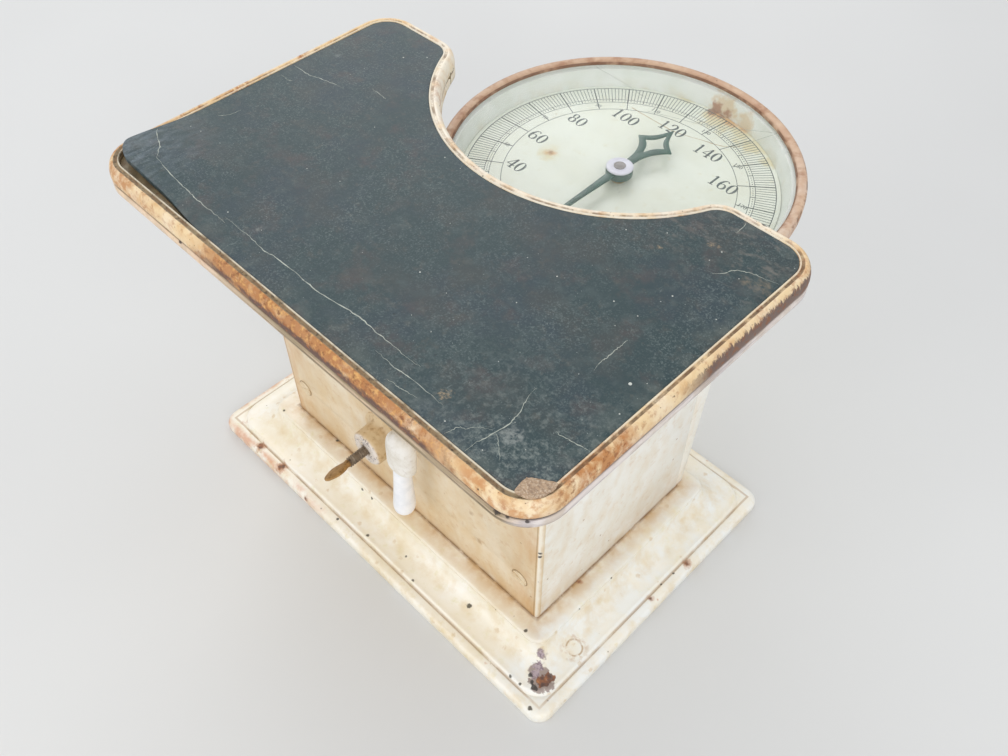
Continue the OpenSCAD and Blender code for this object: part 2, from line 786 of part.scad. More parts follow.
module long_lever() color("#6a6560") {
  difference() {
    lever_casting(long_z, -12, spring_x + 5);
    lever_edges(long_z);
    cross_edge(0, long_z, -edge_h);
    cross_edge(spring_x, long_z, edge_h);
    transfer_pin();
  }
}

module short_lever_edges() color("#b9b4aa") {
  mirror([1, 0, 0]) lever_edges(short_z);
  cross_edge(0, short_z, edge_h);
}

module short_lever() color("#6a6560") {
  difference() {
    mirror([1, 0, 0]) lever_casting(short_z, -16, 5);
    mirror([1, 0, 0]) lever_edges(short_z);
    cross_edge(0, short_z, edge_h);
  }
}

// A pillar on the base that carries a fulcrum edge in a V groove
module lever_stand(x, y, z) {
  top = z - gap + groove_d;
  depth = 9;
  difference() {
    union() {
      translate([x - foot_w / 2, y - depth / 2, base_h]) cube([foot_w, depth, top - base_h]);
      translate([x - foot_w / 2, y - depth / 2 - 5, base_h]) cube([foot_w, depth + 10, 4]);
    }
    along_y(x, y - depth / 2 - cut, z - gap, depth + 2 * cut) vee();
  }
}

module long_lever_stands() color("#77726a") {
  for (y = post_ys) lever_stand(-fulcrum_x, y, long_z);
}

module short_lever_stands() color("#77726a") {
  for (y = post_ys) lever_stand(fulcrum_x, y, short_z);
}

// Side gap between the lever's arm and what hangs beside it
hang_gap = 1.5;
// Sideways slip of an edge over its bearing as the lever turns
slip = 1.2;

// A pair of flat links that hang the short lever's nose from the long lever
module lever_links() color("#9a958c") {
  half = 7;
  top = long_z + gap + 4;
  low = short_z - gap - 4;
  for (s = [-1, 1]) difference() {
    along_y(0, lever_y + s * (nose_w / 2 + hang_gap + link_t / 2) - link_t / 2, 0, link_t)
      translate([-half, low]) square([2 * half, top - low]);
    along_y(0, lever_y - cross_len, 0, 2 * cross_len) {
      translate([0, long_z + gap]) mirror([0, 1]) vee_window(slip);
      translate([0, short_z - gap]) vee_window(slip);
      translate([-vee_half(slip), short_z + 2]) square([2 * vee_half(slip), long_z - short_z - 4]);
    }
  }
}

function vee_half(flat) = flat + 3 * tan(40);

module vee_window(flat) {
  polygon([[-flat, 0], [flat, 0], [vee_half(flat), 3], [vee_half(flat), 8],
           [-vee_half(flat), 8], [-vee_half(flat), 3]]);
}

// The yoke that hangs the lever's nose from the spring
yoke_top = long_z + lever_h / 2 + 8;
yoke_t = 4;

module spring_yoke() color("#9a958c") {
  half = 7;
  low = long_z - gap - 4;
  side = nose_w / 2 + hang_gap;
  for (s = [-1, 1]) difference() {
    along_y(spring_x, lever_y + s * (side + link_t / 2) - link_t / 2, 0, link_t)
      translate([-half, low]) square([2 * half, yoke_top - low + cut]);
    along_y(spring_x, lever_y - cross_len, 0, 2 * cross_len)
      translate([0, long_z - gap]) vee_window(slip);
  }
  translate([spring_x - half, lever_y - side - link_t, yoke_top])
    cube([2 * half, 2 * (side + link_t), yoke_t]);
  translate([spring_x, lever_y, yoke_top + yoke_t - cut]) cylinder(h = plug_h + cut, r = plug_r);
}

// The main spring is one tube wound between the plugs
spring_low = yoke_top + yoke_t + wire_d / 2 + gap;
spring_high = zero_shaft_z - 5 - wire_d / 2 - gap;
coil_steps = 14;
wire_sides = 6;

function coil_point(i, j) =
  let (a = 360 * i / coil_steps, b = 360 * j / wire_sides,
       r = coil_d / 2 + wire_d / 2 * cos(b),
       rise = (spring_high - spring_low) * i / (coil_turns * coil_steps))
  [spring_x + r * cos(a), lever_y + r * sin(a), spring_low + rise + wire_d / 2 * sin(b)];

module main_spring() color("#8f8b84") {
  n = coil_turns * coil_steps;
  echo(coil_gap = (spring_high - spring_low) / coil_turns - wire_d);
  polyhedron(
    points = [for (i = [0 : n], j = [0 : wire_sides - 1]) coil_point(i, j)],
    faces = concat(
      [[for (j = [0 : wire_sides - 1]) j]],
      [for (i = [0 : n - 1], j = [0 : wire_sides - 1], t = [0, 1])
        let (k = (j + 1) % wire_sides, a = i * wire_sides, b = a + wire_sides)
        t == 0 ? [a + j, b + j, b + k] : [a + j, b + k, a + k]],
      [[for (j = [wire_sides - 1 : -1 : 0]) n * wire_sides + j]]
    )
  );
}

// Dial drive

tee_r = 1.5;
tee_z = rocker_z + transfer_drop / 2;
// Distance of the rocker's lower arm from the transfer link
side_arm_in = 10;
side_arm_x = transfer_x - side_arm_in;

// The strap that carries the lever's drop up to the rocker, with a cross pin on top
module transfer_link() color("#9a958c") {
  half = 5;
  low = long_z - transfer_pin_r - gap;
  difference() {
    along_y(transfer_x, transfer_y - link_t / 2, 0, link_t)
      translate([-half, low - 3]) square([2 * half, tee_z - low + 3]);
    along_y(transfer_x, transfer_y - link_t, 0, 2 * link_t) {
      translate([-transfer_pin_r - slip, low]) square([2 * (transfer_pin_r + slip), 2 * transfer_pin_r + 1]);
    }
  }
  translate([side_arm_x - 1, transfer_y, tee_z]) rotate([0, 90, 0])
    cylinder(h = transfer_x + half - side_arm_x + 1, r = tee_r);
}

hanger_xs = [0, side_arm_x + arm_t + 2];

module rocker_shaft() color("#9a958c") {
  translate([-2, rocker_y, rocker_z]) rotate([0, 90, 0])
    cylinder(h = hanger_xs[1] + 3 + 4, r = rocker_shaft_d / 2);
}

// A forked arm on the rocker shaft: its fork holds a pin at the given reach
module rocker_arm(x, turn, reach, pin_r) {
  hub_r = rocker_shaft_d / 2 + 3;
  slot = pin_r + gap;
  arm_w = 2 * (slot + 2.2);
  play = 5;
  translate([x, rocker_y, rocker_z]) rotate([turn, 0, 0]) rotate([90, 0, 90]) linear_extrude(arm_t)
    difference() {
      union() {
        circle(hub_r);
        translate([-arm_w / 2, 0]) square([arm_w, reach + play]);
      }
      circle(rocker_shaft_d / 2);
      translate([-slot, reach - play]) square([2 * slot, 2 * play + cut]);
    }
}

module rocker_arms() color("#77726a") {
  rocker_arm(arm_x, -rocker_swing, rocker_up / cos(rocker_swing), rack_pin_r);
  rocker_arm(side_arm_x, 90 - rocker_swing, rocker_side / cos(rocker_swing), tee_r);
}

strap_t = 4;
strap_w = 12;
strap_y = seam_y - wall_t - strap_w - 1;

// Plates that hang from the cross strap and carry the rocker shaft
module rocker_hanger() color("#77726a") {
  r = rocker_shaft_d / 2 + 3;
  top = pan_z - strap_t;
  for (x = hanger_xs) translate([x, 0, 0]) rotate([90, 0, 90]) linear_extrude(arm_t) difference() {
    union() {
      translate([rocker_y, rocker_z]) circle(r);
      polygon([
        [rocker_y - r, rocker_z], [rocker_y + r, rocker_z - r + 2], [strap_y + strap_w, top - 8],
        [strap_y + strap_w, top], [strap_y, top], [strap_y, top - 8]
      ]);
    }
    translate([rocker_y, rocker_z]) circle(rocker_shaft_d / 2 + fit);
  }
}

// The strap across the casing that carries the front of the dial pan
module dial_bracket() color("#77726a") {
  lug = 14;
  translate([-box_in_x, strap_y, pan_z - strap_t]) cube([2 * box_in_x, strap_w, strap_t]);
  for (s = [-1, 1]) translate([s * (box_in_x - 1.5), strap_y + strap_w / 2, pan_z - lug / 2])
    cube([3, strap_w, lug], center = true);
}

tooth_p = PI * tooth_m;
backlash = 0.12;
rack_low = rack_z - rack_w / 2;
rack_tooth_first = -3;
rack_tooth_last = ceil(rack_stroke / tooth_p) + 3;
rack_pin_y = rocker_y + rack_stroke / 2;

// One straight-sided tooth of the rack, centred on y
function rack_tooth(y) =
  let (half = tooth_p / 4 - backlash / 2, tip = half - 0.8 * tooth_m * tan(20),
       root = half + 1.1 * tooth_m * tan(20))
  [[rack_in_x, y - root], [pitch_r - 0.8 * tooth_m, y - tip],
   [pitch_r - 0.8 * tooth_m, y + tip], [rack_in_x, y + root]];

module rack() color("#b9a06a") {
  front = rack_pin_y - 4;
  back = dial_y + (rack_tooth_last + 1) * tooth_p;
  translate([0, 0, rack_low]) linear_extrude(rack_w) polygon(concat(
    [[rack_out_x, front], [rack_in_x, front]],
    [for (k = [rack_tooth_first : rack_tooth_last], p = rack_tooth(dial_y + (k + 0.5) * tooth_p)) p],
    [[rack_in_x, back], [rack_out_x, back]]
  ));
  translate([rack_out_x - cut, rack_pin_y, rack_z]) rotate([0, 90, 0])
    cylinder(h = arm_t + gap + 2 * cut, r = rack_pin_r);
}

// Channels on the pan's floor that the rack slides through
module rack_guides() color("#b9a06a") {
  play = 0.15;
  t = 2.5;
  len = 8;
  front_reach = 46;
  rear_reach = 7;
  front = dial_y - front_reach;
  rear = dial_y + rear_reach;
  for (y = [front, rear]) {
    translate([rack_in_x - t, y, pan_in_z]) cube([rack_w + 2 * t, len, rack_low - play - pan_in_z]);
    translate([rack_out_x + play, y, pan_in_z]) cube([t, len, rack_low + rack_w - pan_in_z]);
  }
  translate([rack_in_x - play - t, front, pan_in_z]) cube([t, len, rack_low + rack_w - pan_in_z]);
}

function inv(a) = tan(a) - a * PI / 180;

// Half angle of a pinion tooth at radius r
function tooth_half(r) =
  let (base_r = pitch_r * cos(20), a = acos(min(1, base_r / r)))
  90 / pinion_teeth - backlash / 2 / pitch_r * 90 / PI + (inv(20) - inv(a)) * 180 / PI;

function polar(r, a) = [r * cos(a), r * sin(a)];

// One pinion tooth from root to tip and back, centred on the angle a
function pinion_tooth(a) =
  let (root_r = pitch_r - 1.2 * tooth_m, base_r = pitch_r * cos(20), tip_r = pitch_r + 0.9 * tooth_m,
       rs = [for (i = [0 : 4]) base_r + (tip_r - base_r) * i / 4])
  concat([polar(root_r, a - tooth_half(base_r))], [for (r = rs) polar(r, a - tooth_half(r))],
         [for (i = [4 : -1 : 0]) polar(rs[i], a + tooth_half(rs[i]))],
         [polar(root_r, a + tooth_half(base_r))]);

module pinion() color("#b9a06a") {
  translate([0, dial_y, rack_low - 0.5]) linear_extrude(rack_w + 1) difference() {
    polygon([for (i = [0 : pinion_teeth - 1], p = pinion_tooth(360 * i / pinion_teeth)) p]);
    circle(pointer_shaft_d / 2);
  }
}

hand_t = 1.2;
cap_t = 1.2;
cap_screw_h = 0.3;
cap_seat = 0.8;
// Height of the pointer's hub above and below the bottom of its blade
hub_h = 2.7;
hub_low = 3.2;
hand_z = glass_z - 0.4 - cap_screw_h - cap_t - hub_h + cap_seat;

module pointer_shaft() color("#b9b4aa") {
  translate([0, dial_y, pan_in_z + 0.5])
    cylinder(h = hand_z + hub_h - pan_in_z - 0.5, r = pointer_shaft_d / 2);
}

module pointer_footstep() color("#b9a06a") {
  translate([0, dial_y, pan_in_z]) difference() {
    cylinder(h = rack_low - 1 - pan_in_z, r = pointer_shaft_d / 2 + 3);
    translate([0, 0, 0.4]) cylinder(h = rack_low, r = pointer_shaft_d / 2 + fit);
  }
}

bush_r = pointer_shaft_d / 2 + 2.5;

module face_bush() color("#b9a06a") {
  translate([0, dial_y, face_top_z - face_t - 4]) difference() {
    union() {
      cylinder(h = face_t + 4.6, r = bush_r);
      translate([0, 0, 2.5]) cylinder(h = 1.5, r = bush_r + 3);
    }
    translate([0, 0, -cut]) cylinder(h = face_t + 8, r = pointer_shaft_d / 2 + fit);
  }
}

module dial_face() color("#eef0e2") {
  translate([0, dial_y, face_top_z - face_t]) difference() {
    cylinder(h = face_t, r = face_r, $fn = 128);
    translate([0, 0, -cut]) cylinder(h = face_t + 2 * cut, r = bush_r);
  }
}

pan_h = pan_top_z - pan_z;
pan_out_r = bezel_r - 3;
glass_r = pan_in_r + 1;

// The dish that holds the dial: a flat floor, a rounded side and a shoulder for the face
module dial_pan() color("#e6dcc6") {
  face_low = face_top_z - face_t - pan_z;
  bowl = pan_out_r - pan_floor_r;
  difference() {
    translate([0, dial_y, pan_z]) rotate_extrude($fn = 128) polygon(concat(
      [[0, 0]],
      [for (a = [0 : 10 : 90]) [pan_floor_r + bowl * sin(a), pan_h * (1 - cos(a))]],
      [[glass_r + 0.2, pan_h], [glass_r + 0.2, pan_h - glass_t], [glass_r - shelf_w, pan_h - glass_t],
       [face_r + 0.3, face_low + face_t], [face_r + 0.3, face_low], [face_r - shoulder_w, face_low],
       [face_r - shoulder_w, face_low - 8], [pan_floor_r, pan_t + 1], [pan_floor_r - 6, pan_t],
       [0, pan_t]]
    ));
    translate([rack_in_x - 1, rocker_y - rack_stroke / 2 - 9, pan_z - cut])
      cube([arm_x + arm_t + 3.5 - rack_in_x, rack_stroke + 22, rack_z + 7.2 - pan_z + cut]);
  }
}

module bezel_ring() color("#c9a48a") {
  in_r = bezel_r - bezel_w;
  out_r = pan_out_r + 0.2;
  round_r = bezel_lip / 2;
  skirt = bezel_h - bezel_lip;
  translate([0, dial_y, pan_top_z]) rotate_extrude($fn = 128) polygon(concat(
    [[in_r, 0], [out_r, 0], [out_r, -skirt], [bezel_r, -skirt]],
    [for (a = [0 : 30 : 90])
      [bezel_r - round_r * (1 - cos(a)), bezel_lip - round_r * (1 - sin(a))]],
    [for (a = [90 : 30 : 180]) [in_r + round_r * (1 + cos(a)), bezel_lip - round_r * (1 - sin(a))]]
  ));
}

module dial_glass() color("#dfeee8", 0.35) {
  translate([0, dial_y, glass_z]) cylinder(h = glass_t, r = glass_r, $fn = 128);
}

// The hand: a long taper one way and an open diamond with hollow sides the other way
module pointer() color("#2f4a40") {
  root_w = 6;
  neck_len = diamond_len - 1.45 * diamond_w;
  translate([0, dial_y, hand_z]) difference() {
    union() {
      linear_extrude(hand_t) {
        polygon([[-root_w / 2, 0], [root_w / 2, 0], [0.6, -pointer_len], [-0.6, -pointer_len]]);
        polygon([[-root_w / 2, 0], [root_w / 2, 0], [2.5, neck_len + 4], [-2.5, neck_len + 4]]);
        difference() {
          diamond(neck_len, diamond_len, diamond_w);
          diamond(neck_len + 6.5, diamond_len - 6.5, diamond_w - 10);
        }
      }
      translate([0, 0, -hub_low]) cylinder(h = hub_low + hub_h - cap_seat, r = cap_d / 2);
    }
    translate([0, 0, -hub_low - cut])
      cylinder(h = hub_low + hub_h + 2 * cut, r = pointer_shaft_d / 2);
  }
}

// A four-pointed figure with hollow sides between y = low and y = high
module diamond(low, high, w) {
  mid = (low + high) / 2;
  bow = 0.14;
  corners = [[0, high], [-w / 2, mid], [0, low], [w / 2, mid]];
  polygon([for (i = [0 : 3], t = [0 : 0.25 : 0.75])
    let (a = corners[i], b = corners[(i + 1) % 4], p = a + (b - a) * t)
    p + ([0, mid] - p) * bow * 4 * t * (1 - t) * 1.6]);
}

module pointer_cap() color("#e4e2ea") {
  translate([0, dial_y, hand_z + hub_h - cap_seat]) difference() {
    union() {
      cylinder(h = cap_t, r = cap_d / 2);
      translate([0, 0, cap_t]) cylinder(h = cap_screw_h, r = cap_d / 5);
    }
    translate([0, 0, -cut]) cylinder(h = cap_seat + cut, r = pointer_shaft_d / 2);
  }
}

base_plinth();
front_panel();
left_panel();
right_panel();
rear_cover();
front_panel_screws();
zero_screw_boss();
lock_bush();
platform_casting();
platform_mat();
platform_posts();
post_screws();
long_lever();
long_lever_edges();
short_lever();
short_lever_edges();
long_lever_stands();
short_lever_stands();
lever_links();
spring_yoke();
main_spring();
transfer_link();
rocker_shaft();
rocker_arms();
rocker_hanger();
rack();
rack_guides();
pointer_shaft();
pinion();
pointer_footstep();
face_bush();
dial_pan();
dial_bracket();
dial_face();
bezel_ring();
dial_glass();
pointer();
pointer_cap();
zero_screw();
swivel_pad();
zero_shaft();
zero_arms();
zero_shaft_brackets();
lock_lever();
lock_shaft();
lock_cam();
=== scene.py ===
"""Dressed model of an old personal weighing scale: worn mat, enamelled casing and round dial.

Sizes are in millimetres in the row frame: +Y from the user towards the dial, +X to the user's
right and +Z up. They become metres when a mesh is made.
"""

import logging
import math
import random
from dataclasses import dataclass, field
from enum import Enum
from typing import Callable, Iterable, Sequence

import bmesh
import bpy
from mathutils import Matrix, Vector, noise


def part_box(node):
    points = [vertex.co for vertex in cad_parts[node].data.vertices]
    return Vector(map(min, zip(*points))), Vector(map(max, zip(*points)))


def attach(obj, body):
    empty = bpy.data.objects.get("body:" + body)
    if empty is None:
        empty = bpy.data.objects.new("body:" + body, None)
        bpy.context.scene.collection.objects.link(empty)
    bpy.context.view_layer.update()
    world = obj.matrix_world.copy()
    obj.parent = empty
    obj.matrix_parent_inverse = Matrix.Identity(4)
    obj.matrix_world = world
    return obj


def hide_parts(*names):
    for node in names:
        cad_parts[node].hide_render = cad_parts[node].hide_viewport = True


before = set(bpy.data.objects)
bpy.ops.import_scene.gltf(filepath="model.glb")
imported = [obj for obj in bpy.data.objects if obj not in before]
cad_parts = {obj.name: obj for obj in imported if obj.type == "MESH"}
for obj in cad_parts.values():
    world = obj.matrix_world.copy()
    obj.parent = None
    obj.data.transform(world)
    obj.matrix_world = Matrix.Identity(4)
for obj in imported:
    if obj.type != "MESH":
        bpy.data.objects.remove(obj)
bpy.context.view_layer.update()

LOG = logging.getLogger("scale")
MM = 0.001
Point = tuple[float, float, float]
Flat = tuple[float, float]
Socket = bpy.types.NodeSocket
Mask = Socket | float

# Places in the frame that several pieces share
BASE_Y = -51.15
BOX_Y = -52.45
FRONT_Y = -117.55
DIAL_Y = 65.75
BOX_HALF = 112.6
SCREW_X, SCREW_Z = 98.0, 54.0
BASE_TOP = 23.0
WALL_TOP = 216.0
FACE_TOP = 177.8
# Angles of the steps of a rounded corner in a section
QUARTER = [math.radians(d) for d in range(15, 91, 15)]


def linear(code: str) -> tuple[float, float, float, float]:
    """Turns an sRGB hex colour into linear light.

    Args:
        code: The colour as "#rrggbb".

    Returns:
        Linear red, green, blue and an alpha of 1.
    """
    parts = [int(code[i:i + 2], 16) / 255 for i in (1, 3, 5)]
    r, g, b = (c / 12.92 if c <= 0.04045 else ((c + 0.055) / 1.055) ** 2.4 for c in parts)
    return (r, g, b, 1.0)


# Curves and sections


def arc(centre: Flat, radius: float, start: float, end: float, steps: int) -> list[Flat]:
    """Points along an arc.

    Args:
        centre: The arc's centre.
        radius: Its radius.
        start: First angle in degrees.
        end: Last angle in degrees.
        steps: Number of stretches.

    Returns:
        The points from start to end.
    """
    turns = [math.radians(start + (end - start) * i / steps) for i in range(steps + 1)]
    return [(centre[0] + radius * math.cos(a), centre[1] + radius * math.sin(a)) for a in turns]


def filled(points: Sequence[Flat], longest: float) -> list[int]:
    """Counts how many pieces each stretch of a closed outline is cut into.

    Args:
        points: The outline.
        longest: Longest piece allowed.

    Returns:
        A number of pieces for each stretch.
    """
    return [max(1, round(math.dist(a, b) / longest)) for a, b in zip(points, [*points[1:], points[0]])]


def spread(points: Sequence[Flat], counts: Sequence[int]) -> list[Flat]:
    """Cuts each stretch of a closed outline into the given number of pieces.

    Args:
        points: The outline.
        counts: Number of pieces for each stretch.

    Returns:
        The finer outline.
    """
    out = []
    for i, n in enumerate(counts):
        a, b = points[i], points[(i + 1) % len(points)]
        out += [(a[0] + (b[0] - a[0]) * k / n, a[1] + (b[1] - a[1]) * k / n) for k in range(n)]
    return out


def smooth_path(points: Sequence[Sequence[float]], steps: int) -> list[tuple[float, ...]]:
    """Runs a smooth open curve through points.

    Args:
        points: The points, of any number of values.
        steps: Number of pieces between two points.

    Returns:
        Points along the curve.
    """
    pts = [points[0], *points, points[-1]]
    out = []
    for i in range(1, len(pts) - 2):
        for k in range(steps):
            t = k / steps
            out.append(tuple(
                0.5 * (2 * b + (c - a) * t + (2 * a - 5 * b + 4 * c - d) * t * t
                       + (3 * b - a - 3 * c + d) * t ** 3)
                for a, b, c, d in zip(pts[i - 1], pts[i], pts[i + 1], pts[i + 2])))
    return out + [tuple(points[-1])]


def eased(share: float) -> float:
    """A smooth step from 0 to 1 as a share goes from 0 to 1."""
    t = min(1.0, max(0.0, share))
    return t * t * (3 - 2 * t)


# Meshes


@dataclass
class Shell:
    """Loose mesh data in millimetres that grows by lofts, boxes and strips."""

    verts: list[Point] = field(default_factory=list)
    faces: list[list[int]] = field(default_factory=list)

    def loft(self, rings: Sequence[Sequence[Point]], loop: bool = False, caps: bool = True) -> "Shell":
        """Joins closed rings of equal length by quads.

        Args:
            rings: The rings in order.
            loop: Whether the last ring joins the first.
            caps: Whether the ends are closed.

        Returns:
            This shell.
        """
        start, n = len(self.verts), len(rings[0])
        for ring in rings:
            self.verts += [tuple(p) for p in ring]
        for i in range(len(rings) if loop else len(rings) - 1):
            a, b = start + i * n, start + (i + 1) % len(rings) * n
            self.faces += [[a + k, a + (k + 1) % n, b + (k + 1) % n, b + k] for k in range(n)]
        if caps and not loop:
            last = start + (len(rings) - 1) * n
            self.faces += [list(range(start, start + n))[::-1], list(range(last, last + n))]
        return self

    def lathe(self, profile: Sequence[Flat], place: Callable[[float, float, float], Point],
              steps: int = 96) -> "Shell":
        """Turns a closed profile of radius and height round an axis.

        Args:
            profile: Radius and height of each point.
            place: Puts two cross values and a height into the frame.
            steps: Number of steps round.

        Returns:
            This shell.
        """
        rings = []
        for k in range(steps):
            a = 2 * math.pi * k / steps
            rings.append([place(r * math.cos(a), r * math.sin(a), h) for r, h in profile])
        return self.loft(rings, loop=True)

    def box(self, low: Point, high: Point) -> "Shell":
        """Adds a plain block.

        Args:
            low: Its lowest corner.
            high: Its highest corner.

        Returns:
            This shell.
        """
        (x0, y0, z0), (x1, y1, z1) = low, high
        flat = [(x0, y0), (x1, y0), (x1, y1), (x0, y1)]
        return self.loft([[(x, y, z) for x, y in flat] for z in (z0, z1)])

    def strip(self, path: Sequence[tuple[float, ...]], low: float, high: float,
              rise: Callable[[float, float], float] = lambda x, y: 0.0) -> "Shell":
        """Adds a flat stroke of changing width between two heights.

        Args:
            path: x, y and width of each point.
            low: Height of its underside.
            high: Height of its top.
            rise: What is added to both heights at a place.

        Returns:
            This shell.
        """
        left, right = [], []
        for i, (x, y, w) in enumerate(path):
            a, b = path[max(i - 1, 0)], path[min(i + 1, len(path) - 1)]
            dx, dy = b[0] - a[0], b[1] - a[1]
            size = math.hypot(dx, dy) or 1.0
            nx, ny = -dy / size * w / 2, dx / size * w / 2
            left.append((x + nx, y + ny))
            right.append((x - nx, y - ny))
        rings = []
        for a, b in zip(left, right):
            up = rise((a[0] + b[0]) / 2, (a[1] + b[1]) / 2)
            rings.append([(*a, low + up), (*b, low + up), (*b, high + up), (*a, high + up)])
        return self.loft(rings)


def placed(name: str, data: bpy.types.ID) -> bpy.types.Object:
    """Makes an object and links it into the scene.

    Args:
        name: The object's name.
        data: Its mesh, lamp or camera data.

    Returns:
        The object.
    """
    made = bpy.data.objects.new(name, data)
    bpy.context.scene.collection.objects.link(made)
    return made


class Bench:
    """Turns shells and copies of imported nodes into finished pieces."""

    @staticmethod
    def mesh(name: str, shell: Shell, weld: float = 0.0005) -> bpy.types.Object:
        """Makes an object of a shell, with welded points and outward faces.

        Args:
            name: The piece's name.
            shell: Its mesh data in millimetres.
            weld: Distance in millimetres under which points are merged.

        Returns:
            The object, at the origin.
        """
        data = bpy.data.meshes.new(name)
        data.from_pydata([[c * MM for c in v] for v in shell.verts], [], shell.faces)
        bm = bmesh.new()
        bm.from_mesh(data)
        bmesh.ops.remove_doubles(bm, verts=bm.verts, dist=max(weld * MM, 1e-7))
        bmesh.ops.recalc_face_normals(bm, faces=bm.faces)
        bm.to_mesh(data)
        bm.free()
        return placed(name, data)

    @staticmethod
    def copy(node: str, name: str) -> bpy.types.Object:
        """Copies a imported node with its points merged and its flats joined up.

        Args:
            node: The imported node.
            name: The new piece's name.

        Returns:
            The copy, at the origin.
        """
        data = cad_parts[node].data.copy()
        data.name = name
        bm = bmesh.new()
        bm.from_mesh(data)
        bmesh.ops.remove_doubles(bm, verts=bm.verts, dist=2e-6)
        bmesh.ops.dissolve_limit(bm, angle_limit=math.radians(0.3), verts=bm.verts, edges=bm.edges)
        bm.to_mesh(data)
        bm.free()
        data.materials.clear()
        return placed(name, data)

    @staticmethod
    def settle(piece: bpy.types.Object) -> bpy.types.Object:
        """Turns the piece with its modifiers into one plain mesh.

        Args:
            piece: The piece.

        Returns:
            The piece.
        """
        bpy.context.view_layer.update()
        graph = bpy.context.evaluated_depsgraph_get()
        plain = bpy.data.meshes.new_from_object(piece.evaluated_get(graph))
        piece.modifiers.clear()
        piece.data = plain
        return piece

    @staticmethod
    def bevel(piece: bpy.types.Object, width: float, segments: int = 2,
              angle: float = 40) -> bpy.types.Object:
        """Rounds the piece's edges.

        Args:
            piece: The piece.
            width: Width of the rounding in millimetres.
            segments: Number of steps across it.
            angle: Edges sharper than this, in degrees, are rounded.

        Returns:
            The piece.
        """
        mod = piece.modifiers.new("edges", "BEVEL")
        mod.width = width * MM
        mod.segments = segments
        mod.limit_method = "ANGLE"
        mod.angle_limit = math.radians(angle)
        return Bench.settle(piece)

    @staticmethod
    def finish(piece: bpy.types.Object, body: str, finish: bpy.types.Material, slot: str,
               stands_for: Sequence[str] = (), sharp: float = 32) -> None:
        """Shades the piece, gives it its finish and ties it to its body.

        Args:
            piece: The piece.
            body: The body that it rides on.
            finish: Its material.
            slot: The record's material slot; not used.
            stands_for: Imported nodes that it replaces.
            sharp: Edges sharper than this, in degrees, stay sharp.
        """
        piece.data.materials.clear()
        piece.data.materials.append(finish)
        for face in piece.data.polygons:
            face.use_smooth = True
            face.material_index = 0
        piece.data.set_sharp_from_angle(angle=math.radians(sharp))
        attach(piece, body)
        if stands_for:
            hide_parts(*stands_for)
        LOG.info("%s rides on %s: %d faces", piece.name, body, len(piece.data.polygons))


def upright(centre: Point) -> Callable[[float, float, float], Point]:
    """A lathe place whose axis is +Z through a centre."""
    return lambda a, b, h: (centre[0] + a, centre[1] + b, centre[2] + h)


def forwards(centre: Point) -> Callable[[float, float, float], Point]:
    """A lathe place whose axis is -Y, towards the user, through a centre."""
    return lambda a, b, h: (centre[0] + a, centre[1] - h, centre[2] + b)


# Finishes


def add_node(tree: bpy.types.NodeTree, kind: str, inputs: dict, settings: dict) -> bpy.types.Node:
    """Adds a node with its settings and links.

    Args:
        tree: The tree that takes it.
        kind: The node's type.
        inputs: Socket or value for each input by index or name.
        settings: The node's own properties.

    Returns:
        The node.
    """
    made = tree.nodes.new(kind)
    for key, value in settings.items():
        setattr(made, key, value)
    for key, value in inputs.items():
        if isinstance(value, bpy.types.NodeSocket):
            tree.links.new(value, made.inputs[key])
        else:
            made.inputs[key].default_value = value
    return made


